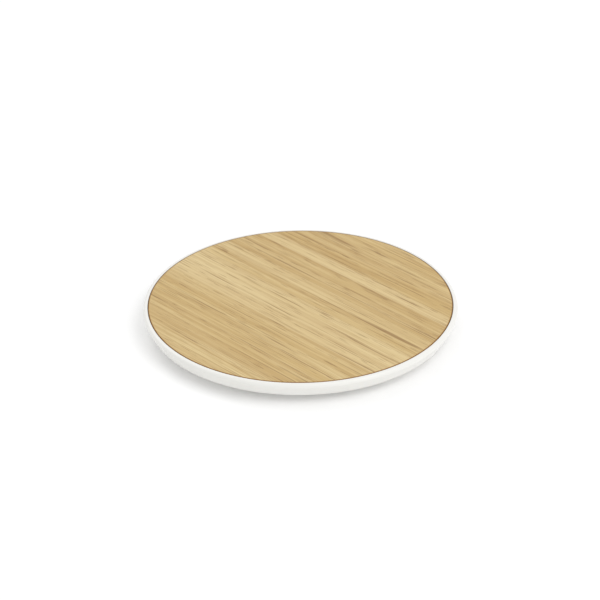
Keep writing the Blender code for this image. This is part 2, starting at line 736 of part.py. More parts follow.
def make_components():
    """What is soldered on top of the board."""
    for name, (radius, degrees, size, material_name) in CHIPS.items():
        chip(name, radius, degrees, size, material_name)
    for i, degrees in enumerate(POWER_STAGE_DEGREES):
        make_power_stage(f"power_stage_{i + 1}", degrees)
    resonant_places = [(radius, degrees) for radius in RESONANT_CIRCLES for degrees in RESONANT_DEGREES]
    for i, (radius, degrees) in enumerate(resonant_places):
        make_capacitor(f"resonant_capacitor_{i + 1}", radius, degrees, RESONANT_SIZE)
    for i, degrees in enumerate(INPUT_DEGREES):
        make_capacitor(f"input_capacitor_{i + 1}", INPUT_CIRCLE, degrees, INPUT_SIZE)
    for i in range(RESISTOR_COUNT):
        degrees = RESISTOR_FIRST_DEG + RESISTOR_STEP_DEG * i
        chip(f"chip_resistor_{i + 1}", RESISTOR_CIRCLE, degrees, RESISTOR_SIZE, "resistor")


def make_light_pipe():
    """The clear rod that carries the status light out through the band."""
    bm = bmesh.new()
    add_cylinder(bm, (0.0, 0.0), LIGHT_PIPE_RADIUS, LIGHT_PIPE_START, LIGHT_PIPE_END, 16)
    pipe = mesh_part("light_pipe", bm, "clear_plastic")
    pipe.rotation_euler = (-math.pi / 2, 0.0, -math.radians(LIGHT_ANGLE_DEG))
    pipe.location.z = LIGHT_LEVEL


# ---------------------------------------------------------------- inlet socket

def socket_outline(inset):
    """Section of the socket in its own plane: wide at the top, with chamfered lower corners."""
    wide = SOCKET_HALF_WIDTH - inset
    narrow = SOCKET_CHAMFER_HALF_WIDTH - inset * 0.6
    top = SOCKET_HALF_HEIGHT - inset
    return [(-wide, top), (-wide, 0.0), (-narrow, -top), (narrow, -top), (wide, 0.0), (wide, top)]


def make_socket_shell():
    """The folded metal shell with a soldering wing on each side."""
    shell = plate("socket_shell", [socket_outline(0.0), socket_outline(SOCKET_WALL)],
                  0.0, SOCKET_DEPTH, "nickel_steel")
    shell.rotation_euler.x = math.pi / 2
    shell.location = (0.0, SOCKET_FRONT - SOCKET_DEPTH / 2, PORT_CENTRE_Z)
    shell = as_mesh(shell)
    bm = bmesh.new()
    for side in (-1, 1):
        near, far = sorted((side * WING_START, side * WING_REACH))
        add_box(bm, (near, WING_Y[0], CHIP_BASE), (far, WING_Y[1], CHIP_BASE + WING_THICKNESS))
    combine(shell, tool("socket_wings", bm), "UNION")


def make_socket_insulator():
    """The block at the back of the socket with its tongue, slotted for the contacts."""
    back = SOCKET_FRONT - SOCKET_DEPTH + OVERLAP / 2
    bm = bmesh.new()
    add_box(bm, (-INSULATOR_HALF_WIDTH, back, PORT_CENTRE_Z - INSULATOR_HALF_HEIGHT),
            (INSULATOR_HALF_WIDTH, INSULATOR_FRONT, PORT_CENTRE_Z + INSULATOR_HALF_HEIGHT))
    insulator = mesh_part("socket_insulator", bm, "black_plastic")
    tongue = box_tool("tongue", (-TONGUE_HALF_WIDTH, INSULATOR_FRONT - OVERLAP, TONGUE_BOTTOM),
                      (TONGUE_HALF_WIDTH, TONGUE_FRONT, TONGUE_TOP))
    combine(insulator, tongue, "UNION")
    slots = bmesh.new()
    half_slot = CONTACT_HALF_WIDTH + CONTACT_SLOT_CLEARANCE
    for x in contact_places():
        add_box(slots, (x - half_slot, back - BEYOND, CONTACT_BOTTOM - CONTACT_SLOT_CLEARANCE),
                (x + half_slot, INSULATOR_FRONT + BEYOND,
                 CONTACT_BOTTOM + CONTACT_THICKNESS + CONTACT_SLOT_CLEARANCE))
    combine(insulator, tool("contact_slots", slots), "DIFFERENCE")


def contact_places():
    """Centres of the contacts across the socket."""
    middle = (CONTACT_COUNT - 1) / 2
    return [(i - middle) * CONTACT_PITCH for i in range(CONTACT_COUNT)]


def make_socket_contacts():
    """Five straight spring strips under the tongue, with their tails on the board."""
    for i, x in enumerate(contact_places()):
        bm = bmesh.new()
        add_box(bm, (x - CONTACT_HALF_WIDTH, CONTACT_Y[0], CONTACT_BOTTOM),
                (x + CONTACT_HALF_WIDTH, CONTACT_Y[1], CONTACT_BOTTOM + CONTACT_THICKNESS))
        mesh_part(f"socket_contact_{i + 1}", bm, "gold_contact")


# ---------------------------------------------------------------- screws and feet

def make_screws():
    """Four pan-head screws driven from below, with a cross recess."""
    seat = SCREW_SEAT - LAYER_GAP
    head_bottom = seat - SCREW_HEAD_HEIGHT
    tip = seat + SCREW_LENGTH
    profile = [
        (0.0, tip),
        (SCREW_RADIUS - SCREW_TIP_BEVEL, tip),
        (SCREW_RADIUS, tip - SCREW_TIP_BEVEL),
        (SCREW_RADIUS, seat),
        (SCREW_HEAD_RADIUS, seat),
        (SCREW_HEAD_RADIUS, head_bottom + SCREW_HEAD_BEVEL),
        (SCREW_HEAD_RADIUS - SCREW_HEAD_BEVEL, head_bottom),
        (0.0, head_bottom),
    ]
    for i, (x, y) in enumerate(fastener_places()):
        screw = turned(f"screw_{i + 1}", profile, "screw_steel", steps=16)
        screw.location = (x, y, 0.0)
        for turn in range(2):
            long, short = SCREW_CROSS_LENGTH / 2, SCREW_CROSS_WIDTH / 2
            slot = box_tool(f"cross_{i + 1}_{turn + 1}", (-long, -short, head_bottom - OVERLAP),
                            (long, short, head_bottom + SCREW_CROSS_DEPTH))
            slot.location = (x, y, 0.0)
            slot.rotation_euler.z = math.pi / 2 * turn
            combine(screw, slot, "DIFFERENCE")


def make_feet():
    """Four rubber feet that cover the screws."""
    profile = [(0.0, FOOT_HEIGHT), (FOOT_RADIUS, FOOT_HEIGHT)]
    profile += arc(FOOT_RADIUS - FOOT_EDGE_ROUNDING, FOOT_EDGE_ROUNDING, FOOT_EDGE_ROUNDING, 0, -90, 4)
    profile.append((0.0, 0.0))
    for i, (x, y) in enumerate(fastener_places()):
        foot = turned(f"foot_{i + 1}", profile, "foot_rubber", steps=32)
        foot.location = (x, y, 0.0)


# ---------------------------------------------------------------- build

clear_scene()
parts = new_collection("wireless_charging_pad")
tools = new_collection("cutters")
materials = {name: new_material(name) for name in MATERIALS}

make_bamboo_disc()
inlet = port_opening()
make_upper_housing(inlet)
make_base_cover(inlet)
make_coil_stack()
make_temperature_sensor()
make_board()
make_components()
make_light_pipe()
make_socket_shell()
make_socket_insulator()
make_socket_contacts()
make_screws()
make_feet()
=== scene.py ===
"""Looks of the wireless charging pad: fine shells, bamboo top, inlet, feet and all materials.

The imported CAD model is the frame. Every piece made here stands for one CAD node, keeps that
node's place and size, and is in metres in the same frame: +Z up, inlet at +Y, grain along X.
"""

import math

import bmesh
import bpy
from mathutils import Matrix, Vector


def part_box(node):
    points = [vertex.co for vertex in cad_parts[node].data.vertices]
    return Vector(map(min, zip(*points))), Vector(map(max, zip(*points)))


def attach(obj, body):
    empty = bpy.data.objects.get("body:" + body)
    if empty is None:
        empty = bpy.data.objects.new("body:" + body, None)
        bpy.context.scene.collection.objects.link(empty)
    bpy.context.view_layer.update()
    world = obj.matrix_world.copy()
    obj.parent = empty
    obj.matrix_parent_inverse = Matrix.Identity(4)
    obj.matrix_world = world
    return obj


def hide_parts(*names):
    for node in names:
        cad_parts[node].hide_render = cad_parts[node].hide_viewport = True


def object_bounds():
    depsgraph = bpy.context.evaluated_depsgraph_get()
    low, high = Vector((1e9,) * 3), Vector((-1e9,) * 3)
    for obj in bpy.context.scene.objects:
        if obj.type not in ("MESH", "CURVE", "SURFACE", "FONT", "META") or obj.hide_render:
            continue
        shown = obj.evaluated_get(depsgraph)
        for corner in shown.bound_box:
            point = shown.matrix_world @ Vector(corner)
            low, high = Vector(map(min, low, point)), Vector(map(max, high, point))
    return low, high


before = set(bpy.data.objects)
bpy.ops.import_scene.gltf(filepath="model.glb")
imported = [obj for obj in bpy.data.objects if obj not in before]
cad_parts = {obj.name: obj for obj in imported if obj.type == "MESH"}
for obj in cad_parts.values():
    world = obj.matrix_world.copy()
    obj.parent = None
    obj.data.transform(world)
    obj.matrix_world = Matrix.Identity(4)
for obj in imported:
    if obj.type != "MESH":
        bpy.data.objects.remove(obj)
cad_low, cad_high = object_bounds()
scene = bpy.context.scene

MM = 0.001


def mm(*values):
    """Lengths in millimetres, as a tuple in metres."""
    return tuple(value * MM for value in values)


def middle(node):
    """Centre of a CAD node's box."""
    low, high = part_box(node)
    return (low + high) / 2


# ---- sizes, from the frame
PAD_RADIUS = cad_high.x
PAD_TOP = cad_high.z
disc_low, disc_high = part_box("bamboo_disc")
base_low, base_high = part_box("base_cover")
foot_low, foot_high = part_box("foot_1")
socket_low, socket_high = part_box("socket_shell")
screw_low, screw_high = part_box("screw_1")
bead_low, bead_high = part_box("sensor_bead")
HOUSING_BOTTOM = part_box("upper_housing")[0].z
FILM_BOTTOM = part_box("disc_adhesive")[0].z
BOARD_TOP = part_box("main_board")[1].z

GAP = 0.05 * MM  # between pieces that touch
DISC_RADIUS = disc_high.x - 0.06 * MM
DISC_ROUNDING = 0.12 * MM
STRIP_WIDTH = 5.1 * MM
STRIP_SHIFT = 1.6 * MM
ROUND_STEPS = 256
FASTENER_PLACES = [middle(f"foot_{i + 1}") for i in range(4)]
MARGIN = 0.5 * MM  # how far a cut starts outside the solid
EMBED = 0.2 * MM  # how far an added body starts inside it

# Upper shell
LIP_RADIUS = 1.1 * MM
CREST_ROUNDING = 0.3 * MM
BAND_TAPER_DEG = 26.0
BAND_EDGE_ROUNDING = 0.4 * MM
POCKET_RADIUS = 48.58 * MM
POCKET_EDGE_ROUNDING = 0.06 * MM
POCKET_FLOOR = FILM_BOTTOM - GAP
INNER_WALL_RADIUS = 47.2 * MM
CEILING = POCKET_FLOOR - 1.0 * MM
COIL_RIB = mm(22.8, 23.6, 4.05)  # inner radius, outer radius, bottom
BOSS = mm(2.3, 2.95)  # radius, bottom
PILOT = mm(1.05, 5.65)  # radius, top
LEAD_GAP = (mm(-11.0, 17.0, 3.9), (-4.5 * MM, 26.0 * MM, CEILING + 0.1 * MM))

# Base shell
BASE_FLOOR = 2.1 * MM
BASE_SHOULDER = 3.3 * MM
BASE_TOP_RADIUS = 48.2 * MM
BASE_BOTTOM_RADIUS = 43.0 * MM
BASE_FLOOR_RADIUS = 42.4 * MM
BASE_ROUNDING = 2.0 * MM
SHOULDER_ROUNDING = 0.25 * MM
LOCATING_LIP = mm(46.0, 46.85)  # inner radius, outer radius
FERRITE_RIB = mm(24.7, 25.5, 3.0)  # inner radius, outer radius, top
SCREW_PAD = mm(3.2, 2.9)  # radius, top
SCREW_HOLE = mm(1.2, 1.5, 3.5)  # radius, bottom, top
HEAD_RECESS = mm(2.1, 2.05)  # radius, top
FOOT_POCKET = mm(4.7, 1.3)  # radius, top
FOOT_ROUNDING = 0.3 * MM
FOOT_TOP_ROUNDING = 0.1 * MM
BOARD_REST = mm(1.8, 2.35)  # radius, top
BOARD_PIN = mm(1.0, 3.1)  # radius, top
PIN_CIRCLE = 40.3 * MM
PIN_ANGLE = math.radians(33.5)
PIN_PLACES = [(side * PIN_CIRCLE * math.sin(PIN_ANGLE), PIN_CIRCLE * math.cos(PIN_ANGLE))
              for side in (-1, 1)]
LEAD_WAY = (mm(-2.6, 23.0, 2.2), mm(2.6, 27.0, 4.0))
BOARD_POCKET = (mm(-6.6, 40.0, 2.15), mm(6.6, 46.0, 4.5))

# Inlet and status light
PORT_FACE = base_high.y
PORT_LEVEL = middle("socket_shell").z
PORT_HALF = mm(4.1, 1.4)
PORT_CORNER = 0.6 * MM
PORT_CHAMFER = 0.25 * MM
PORT_BACK = 45.5 * MM
RECESS_HALF_WIDTH = 6.8 * MM
RECESS_LEVELS = mm(1.0, 5.6)
RECESS_CORNER = 0.6 * MM
RECESS_FILLET = 0.12 * MM
RECESS_DEPTH = 4.0 * MM
CHIN_FRONT_BOTTOM = 1.6 * MM
CHIN_BACK = 43.6 * MM
CHIN_ROUNDING = 0.5 * MM
SEAM = 0.06 * MM
LIGHT_ANGLE = math.radians(14.0)
LIGHT_HOLE = mm(0.6, 46.0, 52.0)  # radius, start, end
LIGHT_PIPE = mm(0.5, 42.3, 49.0)  # radius, start, end
PIPE_CHAMFER = 0.08 * MM
PIPE_DOME = 0.25 * MM

# Socket
SOCKET_HALF_WIDTHS = mm(3.75, 2.75)  # above the chamfer, under it
SOCKET_HALF_HEIGHT = 1.25 * MM
SOCKET_WALL = 0.3 * MM
SOCKET_FOLD = 0.42 * MM
MOUTH_SOFTENING = 0.08 * MM
MOUTH_STEPS = [(0.3, 1.0), (0.06, 0.55), (0.0, 0.3)]  # millimetres behind the front, share of the wall
WING_X = mm(3.4, 5.6)
WING_Y = mm(43.4, 45.0)
WING_THICKNESS = 0.25 * MM
INSULATOR_HALF = mm(2.4, 0.85)
INSULATOR_Y = mm(42.55, 44.0)
TONGUE_HALF_WIDTH = 1.75 * MM
TONGUE_LEVELS = mm(-0.15, 0.45)
TONGUE_FRONT = 46.9 * MM
CONTACT_PLACES = mm(-1.3, -0.65, 0.0, 0.65, 1.3)
CONTACT_HALF_WIDTH = 0.14 * MM
CONTACT_THICKNESS = 0.12 * MM
CONTACT_LEVEL = 3.33 * MM
CONTACT_GAP = 0.08 * MM
CONTACT_PATH = [(41.1, 0.0), (45.2, 0.0), (45.7, -0.06), (46.1, -0.08), (46.4, -0.02), (46.6, 0.06)]

# Charging coil and sensor leads, routes in millimetres
LITZ_RADIUS = 0.54 * MM
LITZ_SPACING = 0.3 * MM
LITZ_LAY = 6.0 * MM
LITZ_STRANDS = 5
STRAND_DENT = 0.14
COIL_TURNS = 10
COIL_STEPS = 24
COIL_PITCH = 1.13
COIL_START_RADIUS = 10.7
COIL_START_DEG = 105.0
COIL_LEVEL = 4.38
COIL_INNER_LEAD = [(0.0, 29.0, 3.8), (0.0, 27.3, 3.8), (0.0, 25.8, 3.4), (0.0, 24.4, 2.95),
                   (0.0, 10.6, 2.95), (-0.1, 9.9, 3.1), (-0.4, 9.3, 3.5), (-1.0, 9.2, 4.0), (-1.8, 9.7, 4.3)]
COIL_OUTER_LEAD = [(-7.2, 21.4, 4.38), (-8.1, 22.0, 4.38), (-8.5, 23.0, 4.38), (-8.6, 24.6, 4.2),
                   (-8.6, 26.2, 3.8), (-8.6, 28.4, 3.8)]
COIL_TAPE_INNER = 11.0 * MM
FILM_ROUNDING = 0.03 * MM
FERRITE_ROUNDING = 0.12 * MM
FERRITE_SLOT = mm(2.2, 6.5)  # half width, start
DROP_PULL = (0.35, 0.45)  # how much narrower and lower the bead's end is
SENSOR_LEAD = [(2.85, 4.3), (6.6, 3.9), (8.2, 3.3), (9.4, 2.7), (24.6, 2.7), (26.2, 3.42), (28.2, 3.42)]

# Screws
HEAD_HEIGHT = 0.65 * MM
HEAD_ROUNDING = 0.3 * MM
THREAD = mm(0.95, 0.70, 0.6)  # crest radius, root radius, pitch
SCREW_POINT = 1.3 * MM
SCREW_TIP_SHARE = 0.35
SCREW_SIDES = 32
CROSS_HALF = mm(0.95, 0.2)  # half length, half width of an arm
CROSS_REACH = mm(0.3, 0.42)  # outside the head's face, into the head
CROSS_TAPER = 0.6

# Components on the board: circle in millimetres, degrees from +Y, (length, width, height)
CHIP_BASE = BOARD_TOP + GAP
CONTROLLER = (35.0, 6.0, (5.0, 5.0, 0.85))
REGULATOR = (38.5, 13.0, (2.9, 1.6, 1.1))
POWER_STAGES = [(37.4, -19.0, (5.0, 4.0, 1.5)), (37.4, 24.5, (5.0, 4.0, 1.5))]
RESONANT_CAPACITORS = [(circle, degrees, (3.2, 2.5, 1.6))
                       for circle in (28.9, 31.9) for degrees in (-30.8, -23.6)]
INPUT_CAPACITORS = [(39.6, degrees, (2.0, 1.25, 1.25)) for degrees in (-4.0, 2.0)]
SENSE_RESISTOR = (32.0, -8.0, (3.2, 1.6, 0.6))
CHIP_RESISTORS = [(30.0, 9.0 + 4.2 * i, (1.6, 0.8, 0.45)) for i in range(6)]
STATUS_LIGHT = (41.1, 14.0, (2.0, 1.0, 1.2))
LEADLESS_BOTTOM = 0.03 * MM
LEADED_BOTTOM = 0.1 * MM
PACKAGE_CORNER = 0.12 * MM
PACKAGE_WIDEST = 0.45  # share of the height
PACKAGE_SHOULDER = 0.04 * MM
PACKAGE_INSETS = mm(0.10, 0.0, 0.09, 0.14)  # at the bottom, the widest level, the shoulder, the top
CHIP_MARK = mm(0.7, 0.22, 0.05)  # distance from the sides, radius, depth
EDGE_PAD = (0.35, 0.02, 0.01, 0.2)  # millimetres: inner and outer distance from the side, bottom, top
PAD_ROW_MARGIN = 0.8  # millimetres of the side that no pad's middle uses
# Shares of the length that each tinned end takes
CAPACITOR_END = 0.18
SENSE_END = 0.16
RESISTOR_END = 0.2
BODY_ROUNDING = 0.05 * MM
END_ROUNDING = 0.08 * MM
END_PROUD = 0.04 * MM
WING_PATH = [(1.9, 0.62), (2.12, 0.62), (2.24, 0.57), (2.31, 0.46), (2.36, 0.24), (2.43, 0.13), (2.55, 0.09),
             (3.0, 0.09)]
LEAD_PITCH = 1.27 * MM
LEAD_SECTION = mm(0.2, 0.14)  # half width, thickness


# ---- mesh helpers

def arc(centre_x, centre_y, radius, start_deg, end_deg, count):
    """Points on an arc, both ends included."""
    angles = [math.radians(start_deg + (end_deg - start_deg) * i / (count - 1)) for i in range(count)]
    return [(centre_x + radius * math.cos(angle), centre_y + radius * math.sin(angle)) for angle in angles]


def circle_points(radius, height, steps):
    """Points of a level circle about Z."""
    angles = [2 * math.pi * i / steps for i in range(steps)]
    return [(radius * math.cos(angle), radius * math.sin(angle), height) for angle in angles]


def combined(obj, bm, operation):
    """Apply a Boolean of an object with a bmesh body."""
    other = object_from("boolean_tool", bm)
    step = obj.modifiers.new("step", "BOOLEAN")
    step.operation = operation
    step.solver = "EXACT"
    step.object = other
    bpy.context.view_layer.update()
    evaluated = obj.evaluated_get(bpy.context.evaluated_depsgraph_get())
    mesh = bpy.data.meshes.new_from_object(evaluated)
    obj.modifiers.clear()
    old_meshes = [obj.data, other.data]
    obj.data = mesh
    bpy.data.objects.remove(other)
    for old in old_meshes:
        bpy.data.meshes.remove(old)


def object_from(name, bm, bodies=(), cuts=()):
    """An object from a bmesh, with other bmesh bodies joined to it and then cuts taken out."""
    bmesh.ops.recalc_face_normals(bm, faces=bm.faces)
    mesh = bpy.data.meshes.new(name)
    bm.to_mesh(mesh)
    bm.free()
    obj = bpy.data.objects.new(name, mesh)
    scene.collection.objects.link(obj)
    for body in bodies:
        combined(obj, body, "UNION")
    for cut in cuts:
        combined(obj, cut, "DIFFERENCE")
    return obj


def bridge(bm, rings, around=False):
    """Join rings of points, or single points, and close both ends or go on around to the first."""
    rings = [[bm.verts.new(point) for point in ring] for ring in rings]
    pairs = list(zip(rings, rings[1:]))
    ends = [rings[0][::-1], rings[-1]]
    if around:
        pairs.append((rings[-1], rings[0]))
        ends = []
    for first, second in pairs:
        count = max(len(first), len(second))
        for i in range(count):
            j = (i + 1) % count
            corners = [first[i % len(first)], first[j % len(first)],
                       second[j % len(second)], second[i % len(second)]]
            unique = list(dict.fromkeys(corners))
            if len(unique) > 2:
                bm.faces.new(unique)
    for end in ends:
        if len(end) > 2:
            bm.faces.new(end)


def lofted(sections, around=False):
    """Bmesh of a loft through sections of equally many points, or of one point."""
    bm = bmesh.new()
    bridge(bm, sections, around)
    return bm


def turned(profile, steps=ROUND_STEPS, around=False):
    """Bmesh of a profile of (radius, height) points turned about Z."""
    on_axis = 1e-7
    return lofted([circle_points(radius, height, steps if radius > on_axis else 1)
                   for radius, height in profile], around)


def flat_steps(start, end, height, count):
    """Points along a flat stretch, so that shading stays even next to a rounding."""
    return [(start + (end - start) * i / count, height) for i in range(1, count)]


def cylinders(places, radius, bottom, top, steps=48):
    """Bmesh of upright cylinders."""
    bm = bmesh.new()
    for place in places:
        verts = bmesh.ops.create_cone(bm, cap_ends=True, segments=steps, radius1=radius, radius2=radius,
                                      depth=top - bottom)["verts"]
        bmesh.ops.translate(bm, vec=(place[0], place[1], (top + bottom) / 2), verts=verts)
    return bm


def boxes(corners, rounding=0.0, segments=3):
    """Bmesh of boxes, each given by its low and high corner, with rounded edges if a rounding is given."""
    bm = bmesh.new()
    for low, high in corners:
        low, high = Vector(low), Vector(high)
        verts = bmesh.ops.create_cube(bm, size=1.0)["verts"]
        bmesh.ops.scale(bm, vec=high - low, verts=verts)
        bmesh.ops.translate(bm, vec=(low + high) / 2, verts=verts)
        if rounding > 0.0:
            edges = list(dict.fromkeys(edge for vert in verts for edge in vert.link_edges))
            bmesh.ops.bevel(bm, geom=edges, offset=rounding, segments=segments, profile=0.5, affect="EDGES")
    return bm


def rounded_rectangle(half_width, half_height, corner, count=8):
    """Outline of a rectangle with round corners, anticlockwise."""
    outline = []
    for index, (sx, sy) in enumerate(((1, 1), (-1, 1), (-1, -1), (1, -1))):
        centre = (sx * (half_width - corner), sy * (half_height - corner))
        outline += arc(*centre, corner, 90 * index, 90 * index + 90, count)
    return outline


def rounded(corners, radius, count=5):
    """A closed outline with each of its corners rounded."""
    outline = []
    for i, corner in enumerate(corners):
        here = Vector(corner)
        before = (Vector(corners[i - 1]) - here).normalized()
        after = (Vector(corners[(i + 1) % len(corners)]) - here).normalized()
        half = before.angle(after) / 2
        centre = here + (before + after).normalized() * (radius / math.sin(half))
        start = here + before * (radius / math.tan(half)) - centre
        end = here + after * (radius / math.tan(half)) - centre
        sweep = -start.angle_signed(end)
        turns = [Matrix.Rotation(sweep * k / (count - 1), 2) for k in range(count)]
        outline += [tuple(centre + turn @ start) for turn in turns]
    return outline


def smooth_route(points, spacing):
    """Closely spaced points on a centripetal Catmull-Rom curve through the given ones."""
    points = [Vector(p) for p in points]
    points = [points[0] * 2 - points[1]] + points + [points[-1] * 2 - points[-2]]
    route = []
    for p0, p1, p2, p3 in zip(points, points[1:], points[2:], points[3:]):
        t1 = (p1 - p0).length ** 0.5
        t2 = t1 + (p2 - p1).length ** 0.5
        t3 = t2 + (p3 - p2).length ** 0.5
        count = max(1, round((p2 - p1).length / spacing))
        for i in range(count):
            t = t1 + (t2 - t1) * i / count
            a1 = p0.lerp(p1, t / t1)
            a2 = p1.lerp(p2, (t - t1) / (t2 - t1))
            a3 = p2.lerp(p3, (t - t2) / (t3 - t2))
            b1 = a1.lerp(a2, t / t2)
            b2 = a2.lerp(a3, (t - t1) / (t3 - t1))
            route.append(b1.lerp(b2, (t - t1) / (t2 - t1)))
    route.append(points[-2])
    return route


def tube(route, radius, sides, strands=0, lay=1.0):
    """Bmesh of a wire along a route. Strands, if any, show as ridges that turn once in each lay."""
    rings = []
    normal = (route[1] - route[0]).orthogonal()
    run = 0.0
    for i, point in enumerate(route):
        before = route[max(i - 1, 0)]
        tangent = (route[min(i + 1, len(route) - 1)] - before).normalized()
        normal = (normal - tangent * tangent.dot(normal)).normalized()
        side = tangent.cross(normal)
        run += (point - before).length
        twist = run / lay if strands else 0.0
        ring = []
        for k in range(sides):
            angle = 2 * math.pi * (k / sides + twist)
            dent = STRAND_DENT * (1 - abs(math.cos(math.pi * strands * k / sides)))
            spoke = normal * math.cos(angle) + side * math.sin(angle)
            ring.append(point + spoke * radius * (1 - dent))
        rings.append(ring)
    return lofted(rings)


def add_strip(bm, path, x, half_width, thickness):
    """Add a bent metal strip: its path is in Y and Z, its width along X."""
    path = [Vector(p) for p in path]
    rings = []
    for i, point in enumerate(path):
        along = (path[min(i + 1, len(path) - 1)] - path[max(i - 1, 0)]).normalized()
        lift = Vector((-along.y, along.x)) * (thickness / 2)
        lower, upper = point - lift, point + lift
        rings.append([(x - half_width, *lower), (x + half_width, *lower),
                      (x + half_width, *upper), (x - half_width, *upper)])
    bridge(bm, rings)


def finish_piece(obj, node, material, sharp_deg=30.0):
    """Shade a piece, give it its material, and let it ride in place of a CAD node."""
    obj.data.shade_smooth()
    obj.data.set_sharp_from_angle(angle=math.radians(sharp_deg))
    obj.data.materials.clear()
    obj.data.materials.append(material)
    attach(obj, "root")
    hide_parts(node)


# ---- material helpers

class Nodes:
    """Small helper that adds and links shader nodes of one material."""

    def __init__(self, name):
        self.material = bpy.data.materials.new(name)
        self.material.use_nodes = True
        self.tree = self.material.node_tree
        self.shader = self.tree.nodes["Principled BSDF"]
        self.position = self.add("ShaderNodeTexCoord", {}).outputs["Object"]

    def add(self, kind, inputs, **settings):
        """Add a node with the given properties and inputs."""
        node = self.tree.nodes.new(kind)
        for key, value in settings.items():
            setattr(node, key, value)
        for key, value in inputs.items():
            self.feed(node.inputs[key], value)
        return node

    def feed(self, socket, value):
        """Link a socket to an output, or set it to a value."""
        if isinstance(value, bpy.types.NodeSocket):
            self.tree.links.new(value, socket)
        else:
            socket.default_value = value

    def math(self, operation, first, second=0.0):
        """A Math node."""
        return self.add("ShaderNodeMath", {0: first, 1: second}, operation=operation).outputs[0]

    def scaled(self, scale, offset):
        """Object position in metres times a scale per metre, one for all axes or one for each."""
        scales = scale if isinstance(scale, tuple) else (scale, scale, scale)
        inputs = {"Vector": self.position, "Scale": scales, "Location": offset}
        return self.add("ShaderNodeMapping", inputs).outputs["Vector"]

    def noise(self, scale, offset=(0.0, 0.0, 0.0), detail=2.0, roughness=0.5, distortion=0.0):
        """Noise over the scaled object position."""
        inputs = {"Vector": self.scaled(scale, offset), "Scale": 1.0, "Detail": detail,
                  "Roughness": roughness, "Distortion": distortion}
        return self.add("ShaderNodeTexNoise", inputs).outputs["Fac"]

    def cells(self, scale, offset=(0.0, 0.0, 0.0), randomness=1.0, **settings):
        """Distance in a Voronoi pattern over the scaled object position."""
        inputs = {"Vector": self.scaled(scale, offset), "Scale": 1.0, "Randomness": randomness}
        return self.add("ShaderNodeTexVoronoi", inputs, **settings).outputs["Distance"]

    def cell_gap(self, scale, offset=(0.0, 0.0, 0.0)):
        """Zero along the borders of angular cells, growing into them."""
        near, far = (self.cells(scale, offset, 0.7, feature=feature, distance="CHEBYCHEV",
                                voronoi_dimensions="2D") for feature in ("F1", "F2"))
        return self.math("SUBTRACT", far, near)

    def remap(self, value, low, high, to_low=0.0, to_high=1.0, step="LINEAR"):
        """Map a range to another, clamped."""
        inputs = {"Value": value, "From Min": low, "From Max": high, "To Min": to_low, "To Max": to_high}
        return self.add("ShaderNodeMapRange", inputs, clamp=True, interpolation_type=step).outputs["Result"]

    def mix(self, factor, first, second):
        """Mix two colours."""
        node = self.add("ShaderNodeMix", {"Factor": factor}, data_type="RGBA")
        for letter, colour in (("A", first), ("B", second)):
            self.feed([s for s in node.inputs if s.name == letter and s.type == "RGBA"][0], colour)
        return [s for s in node.outputs if s.type == "RGBA"][0]

    def axes(self, vector):
        """The X, Y and Z outputs of a vector."""
        return self.add("ShaderNodeSeparateXYZ", {"Vector": vector}).outputs

    def upward(self):
        """How far the surface faces up."""
        return self.axes(self.add("ShaderNodeNewGeometry", {}).outputs["Normal"])["Z"]

    def bump(self, height, distance, strength):
        """Bump from a height, into the shader's normal."""
        inputs = {"Distance": distance, "Strength": strength, "Height": height}
        self.set(Normal=self.add("ShaderNodeBump", inputs).outputs["Normal"])

    def finish(self, fine, roughness, relief, strength=0.5):
        """Let fine detail vary the roughness and raise the surface. Returns the material."""
        self.set(Roughness=self.remap(fine, 0.3, 0.7, *roughness))
        self.bump(fine, relief, strength)
        return self.material

    def set(self, **values):
        """Set shader sockets by name, underscores for spaces."""
        for key, value in values.items():
            self.feed(self.shader.inputs[key.replace("_", " ")], value)


def rgb(red, green, blue):
    """Linear colour from 0-255 display values."""
    def linear(value):
        value /= 255
        return value / 12.92 if value <= 0.04045 else ((value + 0.055) / 1.055) ** 2.4
    return (linear(red), linear(green), linear(blue), 1.0)


# ---- materials

def bamboo_strips(n, colour):
    """Tell the laminated strips apart by their tones and joints. Returns the colour and the place across."""
    wander = n.math("MULTIPLY", n.noise((20.0, 40.0, 1.0), (9.0, 2.0, 0.0), detail=1.0), 0.4 * MM)
    level = n.math("ADD", n.axes(n.position)["Y"], n.math("SUBTRACT", wander, STRIP_SHIFT))
    across = n.math("DIVIDE", level, STRIP_WIDTH)
    share = n.math("FRACT", across)
    strip = n.math("FLOOR", across)
    tone = n.add("ShaderNodeTexWhiteNoise", {"W": strip}, noise_dimensions="1D").outputs["Value"]
    colour = n.mix(n.remap(tone, 0.55, 1.0, 0.0, 0.45), colour, rgb(188, 155, 98))
    colour = n.mix(n.remap(tone, 0.0, 0.40, 0.40, 0.0), colour, rgb(227, 206, 158))
    colour = n.mix(n.remap(share, 0.55, 1.0, 0.0, 0.20), colour, rgb(180, 147, 92))
    joint = n.math("MULTIPLY", n.remap(share, 0.0, 0.035, 1.0, 0.0), n.remap(tone, 0.15, 0.6, 0.30, 0.75))
    return n.mix(joint, colour, rgb(150, 112, 60)), share


